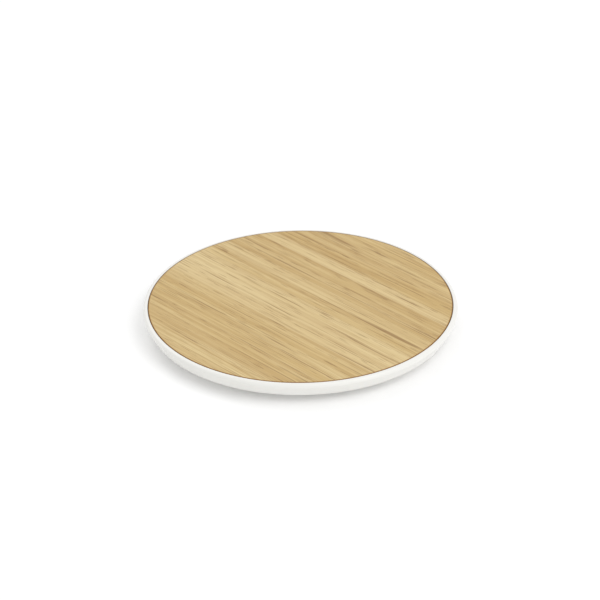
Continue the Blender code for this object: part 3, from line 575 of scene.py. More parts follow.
def bamboo_rim(n, colour):
    """Brown the bamboo in a thin line at its cut edge."""
    flat = n.add("ShaderNodeVectorMath", {0: n.position, 1: (1.0, 1.0, 0.0)}, operation="MULTIPLY")
    length = n.add("ShaderNodeVectorMath", {0: flat.outputs["Vector"]}, operation="LENGTH")
    uneven = n.math("MULTIPLY", n.noise(400.0), 0.1 * MM)
    radius = n.math("ADD", length.outputs["Value"], uneven)
    halo = n.remap(radius, DISC_RADIUS - 0.45 * MM, DISC_RADIUS - 0.12 * MM, 0.0, 0.3, "SMOOTHSTEP")
    scorch = n.remap(radius, DISC_RADIUS - 0.30 * MM, DISC_RADIUS - 0.08 * MM, 0.0, 0.95, "SMOOTHSTEP")
    return n.mix(scorch, n.mix(halo, colour, rgb(172, 132, 64)), rgb(138, 92, 16))


def bamboo_material():
    """Planed bamboo: long fibres along X, darker fibre bundles, glued strips, a browned rim."""
    n = Nodes("bamboo")
    broad = n.noise((9.0, 170.0, 40.0), (3.1, 2.75, 0.0))
    streaks = n.noise((14.0, 900.0, 300.0), (0.0, 17.6, 0.0), detail=3.0, roughness=0.6, distortion=0.15)
    fibres = n.noise((60.0, 5200.0, 1500.0), (7.0, 72.8, 0.0), detail=3.0, roughness=0.65)
    bundles = n.noise((16.0, 1500.0, 500.0), (2.0, 29.2, 0.0), detail=1.0, roughness=0.4)
    along = n.noise((55.0, 420.0, 100.0), (4.0, 7.8, 0.0), detail=1.0)
    dashes = n.noise((130.0, 3000.0, 900.0), (1.0, 44.4, 0.0), detail=1.0, roughness=0.4)

    colour = n.mix(n.remap(broad, 0.34, 0.66), rgb(221, 198, 145), rgb(205, 176, 117))
    colour = n.mix(n.remap(streaks, 0.42, 0.68, 0.0, 0.75), colour, rgb(184, 150, 92))
    colour = n.mix(n.remap(fibres, 0.45, 0.75, 0.0, 0.55), colour, rgb(172, 138, 84))
    colour = n.mix(n.remap(fibres, 0.20, 0.42, 0.35, 0.0), colour, rgb(229, 209, 160))
    colour, share = bamboo_strips(n, colour)
    line = n.math("MULTIPLY", n.remap(bundles, 0.60, 0.66), n.remap(along, 0.42, 0.58))
    colour = n.mix(n.math("MULTIPLY", line, 0.70), colour, rgb(144, 108, 60))
    dash = n.math("MULTIPLY", n.remap(dashes, 0.62, 0.68), n.remap(share, 0.2, 1.0, 0.25, 0.75))
    colour = n.mix(dash, colour, rgb(138, 101, 54))

    n.set(Base_Color=bamboo_rim(n, colour), Roughness=n.remap(fibres, 0.3, 0.7, 0.46, 0.60), IOR=1.5)
    height = n.math("ADD", n.math("MULTIPLY", fibres, 0.6), n.math("MULTIPLY", streaks, 0.4))
    n.bump(n.math("SUBTRACT", height, n.math("MULTIPLY", dash, 0.5)), 0.04 * MM, 0.6)
    return n.material


def plastic_material(name, colour, shade, roughness, grain=0.004 * MM):
    """Moulded plastic: nearly even colour with a faint mottle and a fine satin texture."""
    n = Nodes(name)
    n.set(Base_Color=n.mix(n.remap(n.noise(60.0, detail=3.0), 0.3, 0.7), colour, shade), IOR=1.53)
    n.set(Roughness=n.remap(n.noise(900.0), 0.3, 0.7, roughness - 0.03, roughness + 0.03))
    n.bump(n.noise(5200.0), grain, 0.5)
    return n.material


def metal_material(name, colour, shade, roughness):
    """Plated or drawn metal with fine directional marks."""
    n = Nodes(name)
    marks = n.noise((800.0, 6000.0, 800.0), detail=3.0, roughness=0.6)
    n.set(Base_Color=n.mix(n.remap(n.noise(260.0), 0.35, 0.7), colour, shade), Metallic=1.0)
    return n.finish(marks, (roughness - 0.06, roughness + 0.08), 0.003 * MM)


def rubber_material():
    """Dark grey rubber with a powdery, slightly pitted face."""
    n = Nodes("foot_rubber")
    pits = n.noise(2600.0, detail=3.0, roughness=0.6)
    dust = n.noise(300.0, detail=4.0)
    n.set(Base_Color=n.mix(n.remap(dust, 0.35, 0.7), rgb(70, 70, 72), rgb(92, 92, 94)))
    return n.finish(pits, (0.72, 0.88), 0.02 * MM, 0.6)


def litz_material():
    """Enamelled copper strands: reddish brown, darker where the enamel is thick."""
    n = Nodes("copper_litz")
    strands = n.noise((4000.0, 4000.0, 2500.0))
    colour = n.mix(n.remap(n.noise(700.0, detail=3.0), 0.35, 0.7), rgb(196, 112, 62), rgb(158, 80, 42))
    n.set(Base_Color=n.mix(n.remap(strands, 0.5, 0.75, 0.0, 0.5), colour, rgb(224, 150, 96)), Metallic=0.9)
    return n.finish(strands, (0.28, 0.46), 0.008 * MM, 0.6)


def ferrite_material():
    """Sintered ferrite: charcoal grey with a fine speckle and shallow pores."""
    n = Nodes("ferrite")
    grain = n.noise(2200.0, detail=4.0, roughness=0.7)
    colour = n.mix(n.remap(n.noise(120.0, detail=3.0), 0.3, 0.7), rgb(62, 62, 65), rgb(50, 50, 54))
    n.set(Base_Color=n.mix(n.remap(grain, 0.58, 0.72, 0.0, 0.7), colour, rgb(96, 96, 100)))
    return n.finish(grain, (0.42, 0.68), 0.01 * MM, 0.6)


def ceramic_material():
    """Capacitor ceramic: brown with a fine powdery grain."""
    n = Nodes("capacitor")
    grain = n.noise(4000.0, detail=3.0)
    colour = n.mix(n.remap(n.noise(900.0), 0.3, 0.7), rgb(176, 142, 104), rgb(154, 120, 84))
    n.set(Base_Color=n.mix(n.remap(grain, 0.55, 0.75, 0.0, 0.5), colour, rgb(132, 100, 68)))
    return n.finish(grain, (0.40, 0.58), 0.005 * MM)


def adhesive_material():
    """Double-sided film: pale, a little glossy, with the tissue's fibres showing."""
    n = Nodes("adhesive")
    one_way = n.noise((300.0, 3000.0, 900.0), (2.0, 0.0, 0.0), detail=3.0)
    other_way = n.noise((3000.0, 300.0, 900.0), (0.0, 4.0, 0.0), detail=3.0)
    fibres = n.math("MAXIMUM", one_way, other_way)
    n.set(Base_Color=n.mix(n.remap(fibres, 0.5, 0.75), rgb(231, 226, 208), rgb(208, 200, 176)))
    n.set(Roughness=n.remap(fibres, 0.4, 0.7, 0.38, 0.62))
    n.bump(fibres, 0.01 * MM, 0.5)
    return n.material


def board_material():
    """Green solder mask over copper areas and tracks, vias, and bare glass laminate at the edges."""
    n = Nodes("board")
    pour = n.remap(n.cell_gap((150.0, 150.0, 1.0), (0.4, 0.7, 0.0)), 0.050, 0.070)
    track = n.remap(n.cell_gap((260.0, 1100.0, 1.0)), 0.28, 0.34, 1.0, 0.0)
    plain = n.remap(n.noise((90.0, 90.0, 10.0), (5.0, 1.0, 0.0), detail=1.0), 0.53, 0.54, 1.0, 0.0)
    copper = n.math("MINIMUM", pour, n.math("MAXIMUM", plain, track))
    rings = n.remap(n.cells((640.0, 640.0, 1.0), (3.0, 2.0, 0.0)), 0.10, 0.14, 1.0, 0.0)
    crowd = n.remap(n.noise((90.0, 90.0, 10.0), (1.0, 8.0, 0.0), detail=1.0), 0.56, 0.58)
    mask = n.mix(copper, rgb(16, 74, 42), rgb(28, 104, 58))
    mask = n.mix(n.math("MULTIPLY", rings, crowd), mask, rgb(168, 166, 142))
    weave = n.noise((3000.0, 3000.0, 12000.0))
    laminate = n.mix(n.remap(weave, 0.35, 0.65), rgb(196, 186, 138), rgb(166, 154, 108))
    face = n.remap(n.math("ABSOLUTE", n.upward()), 0.6, 0.8)
    n.set(Base_Color=n.mix(face, laminate, mask), Roughness=n.remap(weave, 0.3, 0.7, 0.30, 0.44))
    n.bump(copper, 0.02 * MM, 0.6)
    return n.material


def resistor_material():
    """Chip resistor: white alumina with a black glaze on its upper face."""
    n = Nodes("resistor")
    grain = n.noise(5000.0)
    alumina = n.mix(n.remap(grain, 0.3, 0.7), rgb(232, 230, 222), rgb(214, 211, 200))
    glaze = n.mix(n.remap(grain, 0.3, 0.7), rgb(34, 34, 36), rgb(46, 46, 50))
    n.set(Base_Color=n.mix(n.remap(n.upward(), 0.5, 0.9), alumina, glaze))
    return n.finish(grain, (0.30, 0.46), 0.004 * MM)


def clear_material():
    """Milky acrylic, slightly frosted by moulding."""
    n = Nodes("clear_plastic")
    flow = n.noise(700.0)
    n.set(Base_Color=n.mix(n.remap(flow, 0.3, 0.7), rgb(246, 249, 250), rgb(236, 242, 244)))
    n.set(IOR=1.49, Transmission_Weight=0.35)
    return n.finish(flow, (0.08, 0.20), 0.006 * MM, 0.4)


# ---- the two shells

def face_outline(y, level, half_width, half_height, corner):
    """A rounded rectangle that stands across Y, its middle at a level."""
    return [(x, y, level + z) for x, z in rounded_rectangle(half_width, half_height, corner)]


def port_cutter():
    """The inlet's opening with a chamfer at the face."""
    stations = ((PORT_FACE + MM, PORT_CHAMFER + MM), (PORT_FACE - PORT_CHAMFER, 0.0), (PORT_BACK, 0.0))
    return lofted([face_outline(y, PORT_LEVEL, PORT_HALF[0] + grow, PORT_HALF[1] + grow, PORT_CORNER + grow)
                   for y, grow in stations])


def recess_cutter():
    """The flat face that the band is cut back to around the inlet."""
    bottom, top = RECESS_LEVELS
    half_height = (top - bottom) / 2
    stations = ((PORT_FACE, -RECESS_FILLET), (PORT_FACE + RECESS_FILLET, 0.0),
                (PORT_FACE + RECESS_DEPTH, 0.0))
    level = top - half_height
    return lofted([face_outline(y, level, RECESS_HALF_WIDTH + grow, half_height + grow, RECESS_CORNER)
                   for y, grow in stations])


def towards_light(bm):
    """Lay a bmesh that stands on Z down along the line from the middle to the status light."""
    turn = Matrix.Rotation(-LIGHT_ANGLE, 4, "Z") @ Matrix.Rotation(-math.pi / 2, 4, "X")
    lift = Matrix.Translation((0.0, 0.0, middle("light_pipe").z))
    bmesh.ops.transform(bm, matrix=lift @ turn, verts=bm.verts)
    return bm


def band_profile():
    """Outer side of the upper shell: rounded lip, crest, and a band that tapers inward."""
    taper = math.radians(BAND_TAPER_DEG)
    crest = PAD_TOP - LIP_RADIUS
    crest_centre = PAD_RADIUS - CREST_ROUNDING
    offset = crest_centre * math.cos(taper) - crest * math.sin(taper) + CREST_ROUNDING
    edge_z = HOUSING_BOTTOM + BAND_EDGE_ROUNDING
    edge_r = (offset - BAND_EDGE_ROUNDING + edge_z * math.sin(taper)) / math.cos(taper)
    lip = arc(PAD_RADIUS - LIP_RADIUS, crest, LIP_RADIUS, 90, 0, 19)
    corner = arc(crest_centre, crest, CREST_ROUNDING, 0, -BAND_TAPER_DEG, 7)
    edge = arc(edge_r, edge_z, BAND_EDGE_ROUNDING, -BAND_TAPER_DEG, -90, 9)
    last = corner[-1]
    band = [(last[0] + (edge[0][0] - last[0]) * t, last[1] + (edge[0][1] - last[1]) * t)
            for t in (0.03, 0.25, 0.5, 0.75, 0.97)]
    return lip + corner[1:] + band + edge


def make_upper_shell(material):
    """The white top shell, with its pocket, lip, bosses and coil rib."""
    rib_inner, rib_outer, rib_bottom = COIL_RIB
    rounding = POCKET_EDGE_ROUNDING
    profile = [(0.0, POCKET_FLOOR)]
    profile += flat_steps(0.0, POCKET_RADIUS, POCKET_FLOOR, 6)
    profile += [(POCKET_RADIUS, POCKET_FLOOR), (POCKET_RADIUS, PAD_TOP - rounding - 0.05 * MM)]
    profile += arc(POCKET_RADIUS + rounding, PAD_TOP - rounding, rounding, 180, 90, 6)
    profile += band_profile()
    profile += [(INNER_WALL_RADIUS, HOUSING_BOTTOM), (INNER_WALL_RADIUS, CEILING), (rib_outer, CEILING),
                (rib_outer, rib_bottom), (rib_inner, rib_bottom), (rib_inner, CEILING), (0.0, CEILING)]
    boss_radius, boss_bottom = BOSS
    pilot_radius, pilot_top = PILOT
    bosses = cylinders(FASTENER_PLACES, boss_radius, boss_bottom, CEILING + EMBED)
    pilots = cylinders(FASTENER_PLACES, pilot_radius, boss_bottom - MARGIN, pilot_top)
    light_hole = towards_light(cylinders([(0.0, 0.0)], *LIGHT_HOLE, 32))
    shell = object_from("upper_shell", turned(profile), [bosses],
                        [pilots, boxes([LEAD_GAP]), recess_cutter(), port_cutter(), light_hole])
    finish_piece(shell, "upper_housing", material)


def chin_body():
    """The block that gives the inlet its flat face, with rounded front edges."""
    low = Vector((-RECESS_HALF_WIDTH, CHIN_BACK, base_low.z + GAP))
    high = Vector((RECESS_HALF_WIDTH, PORT_FACE, HOUSING_BOTTOM - SEAM))
    centre = (low + high) / 2
    bm = boxes([(low, high)])
    front = [vert for vert in bm.verts if vert.co.y > centre.y]
    for vert in front:
        if vert.co.z < centre.z:
            vert.co.z = CHIN_FRONT_BOTTOM
    edges = [edge for edge in bm.edges if any(vert in front for vert in edge.verts)]
    bmesh.ops.bevel(bm, geom=edges, offset=CHIN_ROUNDING, segments=5, profile=0.5, affect="EDGES")
    return bm


def base_profile():
    """Section of the bottom shell: floor with its rib, locating lip, sloping side, flat underside."""
    rib_inner, rib_outer, rib_top = FERRITE_RIB
    lip_inner, lip_outer = LOCATING_LIP
    slope = math.atan2(BASE_SHOULDER - base_low.z, BASE_TOP_RADIUS - BASE_BOTTOM_RADIUS)
    bend = arc(BASE_BOTTOM_RADIUS - BASE_ROUNDING * math.tan(slope / 2), base_low.z + BASE_ROUNDING,
               BASE_ROUNDING, math.degrees(slope) - 90, -90, 7)
    profile = [(0.0, BASE_FLOOR), (rib_inner, BASE_FLOOR), (rib_inner, rib_top), (rib_outer, rib_top),
               (rib_outer, BASE_FLOOR), (BASE_FLOOR_RADIUS, BASE_FLOOR), (lip_inner, BASE_SHOULDER),
               (lip_inner, base_high.z), (lip_outer, base_high.z), (lip_outer, BASE_SHOULDER)]
    profile += [(BASE_TOP_RADIUS - SHOULDER_ROUNDING * inward, BASE_SHOULDER - SHOULDER_ROUNDING * down)
                for inward, down in ((1.0, 0.0), (0.3, 0.25), (0.0, 0.8))]
    return profile + bend + flat_steps(bend[-1][0], 0.0, base_low.z, 8) + [(0.0, base_low.z)]


def make_base_shell(material):
    """The saucer-shaped bottom shell, with its pads, rests, pins, chin, pockets and holes."""
    inside = BASE_FLOOR - EMBED
    bodies = (cylinders(FASTENER_PLACES, SCREW_PAD[0], inside, SCREW_PAD[1]),
              cylinders(PIN_PLACES, BOARD_REST[0], inside, BOARD_REST[1], 32),
              cylinders(PIN_PLACES, BOARD_PIN[0], inside, BOARD_PIN[1], 32),
              chin_body())
    cuts = (cylinders(FASTENER_PLACES, FOOT_POCKET[0], base_low.z - MARGIN, FOOT_POCKET[1], 96),
            cylinders(FASTENER_PLACES, HEAD_RECESS[0], base_low.z, HEAD_RECESS[1]),
            cylinders(FASTENER_PLACES, *SCREW_HOLE), boxes([LEAD_WAY, BOARD_POCKET]), port_cutter())
    base = object_from("base_shell", turned(base_profile()), bodies, cuts)
    finish_piece(base, "base_cover", material)


# ---- disc, feet, films and ferrite

def make_bamboo_top(material):
    """The bamboo disc, with its edge slightly rounded."""
    flat = DISC_RADIUS - DISC_ROUNDING
    under = disc_low.z
    profile = [(0.0, PAD_TOP)]
    profile += flat_steps(0.0, flat, PAD_TOP, 10)
    profile += [(flat - 0.1 * MM, PAD_TOP)]
    profile += arc(flat, PAD_TOP - DISC_ROUNDING, DISC_ROUNDING, 90, 0, 7)
    profile += [(DISC_RADIUS, under + 0.05 * MM), (DISC_RADIUS - 0.05 * MM, under), (0.0, under)]
    finish_piece(object_from("bamboo_top", turned(profile)), "bamboo_disc", material)


def make_feet(material):
    """The four rubber feet, rounded at the rim."""
    radius = (foot_high.x - foot_low.x) / 2
    height = foot_high.z
    flat = radius - FOOT_ROUNDING
    profile = [(0.0, height)]
    profile += flat_steps(0.0, radius, height, 4)
    profile += arc(radius - FOOT_TOP_ROUNDING, height - FOOT_TOP_ROUNDING, FOOT_TOP_ROUNDING, 90, 0, 4)
    profile += arc(flat, FOOT_ROUNDING, FOOT_ROUNDING, 0, -90, 9)
    profile += flat_steps(flat, 0.0, 0.0, 4)
    profile += [(0.0, 0.0)]
    for i, place in enumerate(FASTENER_PLACES):
        bm = turned(profile, 96)
        bmesh.ops.translate(bm, vec=(place.x, place.y, 0.0), verts=bm.verts)
        finish_piece(object_from(f"rubber_foot_{i + 1}", bm), f"foot_{i + 1}", material)


def make_flat_layer(name, node, inner, soft, slot, material):
    """A thin turned sheet with soft edges. The ferrite one is slotted for the coil's inner lead."""
    low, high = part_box(node)
    radius = max(high.x, high.y)
    flat = radius - soft
    profile = [(inner, high.z)] + flat_steps(inner, flat, high.z, 5)
    profile += arc(flat, high.z - soft, soft, 90, 0, 4) + arc(flat, low.z + soft, soft, 0, -90, 4)
    profile += [(inner, low.z)]
    cuts = []
    if slot == "ferrite":
        half_width, start = FERRITE_SLOT
        cuts = [boxes([((-half_width, start, low.z - MM), (half_width, radius + MM, high.z + MM))])]
    layer = object_from(name, turned(profile, 160, inner > 0.0), cuts=cuts)
    finish_piece(layer, node, material)


def make_flat_layers(film, ferrite):
    """The adhesive films and the slotted ferrite disc."""
    make_flat_layer("disc_film", "disc_adhesive", 0.0, FILM_ROUNDING, "adhesive", film)
    make_flat_layer("coil_film", "coil_tape", COIL_TAPE_INNER, FILM_ROUNDING, "adhesive", film)
    make_flat_layer("ferrite_film", "ferrite_tape", 0.0, FILM_ROUNDING, "adhesive", film)
    make_flat_layer("ferrite_disc", "ferrite_shield", 0.0, FERRITE_ROUNDING, "ferrite", ferrite)


# ---- coil and sensor

def coil_route():
    """The litz wire's route: inner lead under the turns, flat spiral, outer lead."""
    points = list(COIL_INNER_LEAD)
    for i in range(COIL_TURNS * COIL_STEPS + 1):
        turn = i / COIL_STEPS
        angle = math.radians(COIL_START_DEG + 360.0 * turn)
        radius = COIL_START_RADIUS + COIL_PITCH * turn
        points.append((radius * math.cos(angle), radius * math.sin(angle), COIL_LEVEL))
    points += COIL_OUTER_LEAD
    return smooth_route([Vector(p) * MM for p in points], LITZ_SPACING)


def make_coil(material):
    """The charging coil, wound from one twisted bundle of strands."""
    bm = tube(coil_route(), LITZ_RADIUS, 20, LITZ_STRANDS, LITZ_LAY)
    finish_piece(object_from("litz_coil", bm), "charging_coil", material, 60.0)


def make_sensor(bead_material, lead_material):
    """The temperature sensor: an epoxy drop, narrower towards its two fine leads."""
    radius = (bead_high.x - bead_low.x) / 2
    drop = bmesh.new()
    bmesh.ops.create_uvsphere(drop, u_segments=32, v_segments=20, radius=radius)
    for vert in drop.verts:
        pull = max(0.0, vert.co.y / radius)
        vert.co.x *= 1 - DROP_PULL[0] * pull
        vert.co.z *= 1 - DROP_PULL[1] * pull
    bmesh.ops.translate(drop, vec=middle("sensor_bead"), verts=drop.verts)
    finish_piece(object_from("sensor_drop", drop), "sensor_bead", bead_material)
    for i in range(2):
        node = f"sensor_lead_{i + 1}"
        low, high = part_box(node)
        x = middle(node).x
        route = smooth_route([(x, y * MM, z * MM) for y, z in SENSOR_LEAD], 0.4 * MM)
        bm = tube(route, (high.x - low.x) / 2, 12)
        finish_piece(object_from(f"sensor_wire_{i + 1}", bm), node, lead_material)


# ---- components on the board

def on_board(bm, spot):
    """Turn and move a component's bmesh, made around the origin, to its spot on the board."""
    circle, degrees, _ = spot
    angle = math.radians(degrees)
    place = Vector((circle * MM * math.sin(angle), circle * MM * math.cos(angle), CHIP_BASE))
    matrix = Matrix.Translation(place) @ Matrix.Rotation(-angle, 4, "Z")
    bmesh.ops.transform(bm, matrix=matrix, verts=bm.verts)
    return bm


def moulded_body(size, bottom):
    """A moulded package with drafted sides."""
    length, width, height = mm(*size)
    levels = (bottom, bottom + PACKAGE_WIDEST * (height - bottom), height - PACKAGE_SHOULDER, height)
    sections = []
    for level, inset in zip(levels, PACKAGE_INSETS):
        outline = rounded_rectangle(length / 2 - inset, width / 2 - inset, PACKAGE_CORNER, 4)
        sections.append([(x, y, level) for x, y in outline])
    return lofted(sections)


def first_lead_mark(size):
    """The shallow round mark that shows a package's first lead."""
    length, width, height = mm(*size)
    inward, radius, depth = CHIP_MARK
    place = (inward - length / 2, inward - width / 2)
    return cylinders([place], radius, height - depth, height + 2 * depth, 24)


def make_moulded_chip(name, node, spot, bottom, leads, plastic, tin):
    """A package as two pieces: its moulded body and its tinned leads or pads."""
    size = spot[2]
    body = object_from(name + "_body", on_board(moulded_body(size, bottom), spot),
                       cuts=[on_board(first_lead_mark(size), spot)])
    finish_piece(body, node, plastic)
    finish_piece(object_from(name + "_leads", on_board(leads, spot)), node, tin)


def gull_wings():
    """Four bent leads on each long side of a power package."""
    bm = bmesh.new()
    for i in range(4):
        for side in (-1, 1):
            path = [(side * y * MM, z * MM) for y, z in WING_PATH]
            add_strip(bm, path, (i - 1.5) * LEAD_PITCH, *LEAD_SECTION)
    return bm


def edge_pads(size, per_side, sides, half_width):
    """Flat pads along two sides, or the four of a square package, just proud of its lower edge."""
    length, width, _ = size
    inner, outer, bottom, top = EDGE_PAD
    corners = []
    for i in range(per_side):
        x = (i - (per_side - 1) / 2) * (length - PAD_ROW_MARGIN) / (per_side - 1)
        for side in (-1, 1):
            near, far = sorted((side * (width / 2 - inner), side * (width / 2 - outer)))
            corners.append((mm(x - half_width, near, bottom), mm(x + half_width, far, top)))
            if sides == 4:
                corners.append((mm(near, x - half_width, bottom), mm(far, x + half_width, top)))
    return boxes(corners)


def make_two_ended(name, spot, material, end_share, tin):
    """A chip capacitor or resistor as two pieces: its body and its tinned ends."""
    length, width, height = mm(*spot[2])
    end = length * end_share
    half = Vector((length / 2 - end / 2, width / 2 - END_PROUD, height - END_PROUD))
    body = boxes([((-half.x, -half.y, END_PROUD), half)], BODY_ROUNDING)
    ends = boxes([((low, -width / 2, 0.0), (low + end, width / 2, height))
                  for low in (-length / 2, length / 2 - end)], END_ROUNDING)
    finish_piece(object_from(name + "_body", on_board(body, spot)), name, material)
    finish_piece(object_from(name + "_ends", on_board(ends, spot)), name, tin)


def make_status_light(material):
    """The small light: a base with a domed lens block on it."""
    length, width, height = mm(*STATUS_LIGHT[2])
    base = boxes([((-length / 2, -width / 2, 0.0), (length / 2, width / 2, 0.45 * height))], BODY_ROUNDING)
    lens = boxes([((-0.34 * length, -0.44 * width, 0.1 * height), (0.34 * length, 0.44 * width, height))],
                 0.25 * MM, 5)
    light = object_from("light_chip", on_board(base, STATUS_LIGHT), [on_board(lens, STATUS_LIGHT)])
    finish_piece(light, "status_light", material)


def make_components(plastic, ceramic, glaze, tin, glow):
    """Everything soldered on the board."""
    make_moulded_chip("controller", "controller_chip", CONTROLLER, LEADLESS_BOTTOM,
                      edge_pads(CONTROLLER[2], 8, 4, 0.12), plastic, tin)
    make_moulded_chip("regulator", "regulator_chip", REGULATOR, LEADLESS_BOTTOM,
                      edge_pads(REGULATOR[2], 3, 2, 0.2), plastic, tin)
    for i, spot in enumerate(POWER_STAGES):
        name = f"power_stage_{i + 1}"
        make_moulded_chip(name, name, spot, LEADED_BOTTOM, gull_wings(), plastic, tin)
    for i, spot in enumerate(RESONANT_CAPACITORS):
        make_two_ended(f"resonant_capacitor_{i + 1}", spot, ceramic, CAPACITOR_END, tin)
    for i, spot in enumerate(INPUT_CAPACITORS):
        make_two_ended(f"input_capacitor_{i + 1}", spot, ceramic, CAPACITOR_END, tin)
    make_two_ended("sense_resistor", SENSE_RESISTOR, glaze, SENSE_END, tin)
    for i, spot in enumerate(CHIP_RESISTORS):
        make_two_ended(f"chip_resistor_{i + 1}", spot, glaze, RESISTOR_END, tin)
    make_status_light(glow)


# ---- light pipe, inlet, screws, board

def make_light_pipe(material):
    """The clear rod of the status light, with a domed outer end."""
    radius, start, end = LIGHT_PIPE
    shoulder = end - PIPE_DOME
    profile = [(0.0, start), (radius - PIPE_CHAMFER, start), (radius, start + PIPE_CHAMFER)]
    profile += [(radius, shoulder)]
    for angle in (math.radians(degrees) for degrees in range(15, 90, 15)):
        profile.append((radius * math.cos(angle), shoulder + PIPE_DOME * math.sin(angle)))
    rod = towards_light(turned(profile + [(0.0, end)], 40))
    finish_piece(object_from("clear_rod", rod), "light_pipe", material)


def socket_section(y, inset):
    """Section of the socket at a depth: wide at the top, with rounded folds."""
    wide, narrow = SOCKET_HALF_WIDTHS[0] - inset, SOCKET_HALF_WIDTHS[1] - inset * 0.6
    top = SOCKET_HALF_HEIGHT - inset
    corners = [(-wide, top), (-wide, 0.0), (-narrow, -top), (narrow, -top), (wide, 0.0), (wide, top)]
    return [(x, y, PORT_LEVEL + z) for x, z in rounded(corners, SOCKET_FOLD - 0.7 * inset)]


def make_socket_shell(material):
    """The folded metal shell, with a softened mouth and a soldering wing on each side."""
    front, back, wall = socket_high.y, socket_low.y, SOCKET_WALL
    stations = [(front - MOUTH_SOFTENING, 0.0), (back, 0.0), (back, wall)]
    stations += [(front - depth * MM, wall * share) for depth, share in MOUTH_STEPS]
    folded = lofted([socket_section(y, inset) for y, inset in stations], around=True)
    near, far = WING_X
    wings = boxes([((low, WING_Y[0], CHIP_BASE), (high, WING_Y[1], CHIP_BASE + WING_THICKNESS))
                   for low, high in ((-far, -near), (near, far))], 0.06 * MM)
    finish_piece(object_from("socket_case", folded, [wings]), "socket_shell", material)


def make_insulator(material):
    """The insulator with its tongue, and a slot for each contact."""
    half_width, half_height = INSULATOR_HALF
    back, front = INSULATOR_Y
    low, high = TONGUE_LEVELS
    block = boxes([((-half_width, back, PORT_LEVEL - half_height),
                    (half_width, front, PORT_LEVEL + half_height))], 0.08 * MM)
    tongue = boxes([((-TONGUE_HALF_WIDTH, front - EMBED, PORT_LEVEL + low),
                     (TONGUE_HALF_WIDTH, TONGUE_FRONT, PORT_LEVEL + high))], 0.12 * MM, 4)
    half_slot = CONTACT_HALF_WIDTH + CONTACT_GAP
    half_room = CONTACT_THICKNESS / 2 + CONTACT_GAP
    slots = boxes([((x - half_slot, back - MM, CONTACT_LEVEL - half_room),
                    (x + half_slot, front + 0.4 * MM, CONTACT_LEVEL + half_room)) for x in CONTACT_PLACES])
    insulator = object_from("socket_block", block, [tongue], [slots])
    finish_piece(insulator, "socket_insulator", material)


def make_contacts(material):
    """The five contact springs under the tongue."""
    path = [(y * MM, CONTACT_LEVEL + rise * MM) for y, rise in CONTACT_PATH]
    for i, x in enumerate(CONTACT_PLACES):
        strip = bmesh.new()
        add_strip(strip, path, x, CONTACT_HALF_WIDTH, CONTACT_THICKNESS)
        spring = object_from(f"contact_spring_{i + 1}", strip)
        finish_piece(spring, f"socket_contact_{i + 1}", material)


def screw_rings():
    """Rings of a pan-head screw about Z: threaded shank from the tip down, then the head."""
    head_radius = (screw_high.x - screw_low.x) / 2
    head_bottom, tip = screw_low.z, screw_high.z
    seat = head_bottom + HEAD_HEIGHT
    crest, root, pitch = THREAD
    steps = round((tip - seat) / (pitch / 8))
    rings = []
    for i in range(steps + 1):
        z = tip - (tip - seat) * i / steps
        narrowing = min(1.0, SCREW_TIP_SHARE + (tip - z) / SCREW_POINT)
        ring = []
        for k in range(SCREW_SIDES):
            share = (z / pitch - k / SCREW_SIDES) % 1.0
            ridge = max(0.0, 1.0 - abs(share - 0.5) * 4.0) if z > seat + EMBED else 0.0
            radius = (root + (crest - root) * ridge) * narrowing
            angle = 2 * math.pi * k / SCREW_SIDES
            ring.append((radius * math.cos(angle), radius * math.sin(angle), z))
        rings.append(ring)
    head = [(head_radius - 0.05 * MM, seat), (head_radius, seat - 0.06 * MM)]
    head += arc(head_radius - HEAD_ROUNDING, head_bottom + HEAD_ROUNDING, HEAD_ROUNDING, 0, -90, 6)
    return rings + [circle_points(radius, z, SCREW_SIDES) for radius, z in head]


def cross_arm(half_x, half_y):
    """One arm of the cross recess, narrower at its bottom."""
    face = screw_low.z
    outside, depth = CROSS_REACH
    bm = boxes([((-half_x, -half_y, face - outside), (half_x, half_y, face + depth))])
    for vert in bm.verts:
        if vert.co.z > face:
            vert.co.x *= CROSS_TAPER
            vert.co.y *= CROSS_TAPER
    return bm


def make_screws(material):
    """Four pan-head screws with a cross recess and a coarse thread, driven from below."""
    long, short = CROSS_HALF
    for i, place in enumerate(FASTENER_PLACES):
        screw = object_from(f"pan_screw_{i + 1}", lofted(screw_rings()),
                            cuts=[cross_arm(long, short), cross_arm(short, long)])
        screw.data.transform(Matrix.Translation((place.x, place.y, 0.0)))
        finish_piece(screw, f"screw_{i + 1}", material)


def finish_board(material):
    """The circuit board keeps its CAD shape and takes its material."""
    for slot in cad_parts["main_board"].material_slots:
        slot.material = material


# ---- stage, light and camera

FLOOR_HALF = 3.0
FLOOR_GREY = (0.93, 0.93, 0.93, 1.0)
FLOOR_GLOW = 0.08
WHITE = (1.0, 1.0, 1.0, 1.0)
SURROUND_STRENGTH = 0.74
LIGHT_SIZE = 0.8
KEY_LIGHT = ((0.55, -0.40, 0.85), 4.0)  # right, away from the camera, up; watts
BACK_LIGHT = ((-0.50, 0.60, 0.90), 2.2)
CAMERA_AZIMUTH = math.radians(46.8)
CAMERA_ELEVATION = math.radians(29.73)
CAMERA_ROLL = math.radians(-0.53)
CAMERA_DISTANCE = 0.733
CAMERA_LENS = 138.3
CAMERA_CLIP = (0.01, 20.0)
SENSOR_WIDTH = 36.0
AIM_RIGHT = -0.134 * MM
AIM_UP = 0.741 * MM
RIGHT = Vector((math.cos(CAMERA_AZIMUTH), math.sin(CAMERA_AZIMUTH), 0.0))
AWAY = Vector((-math.sin(CAMERA_AZIMUTH), math.cos(CAMERA_AZIMUTH), 0.0))
UP = Vector((0.0, 0.0, 1.0))


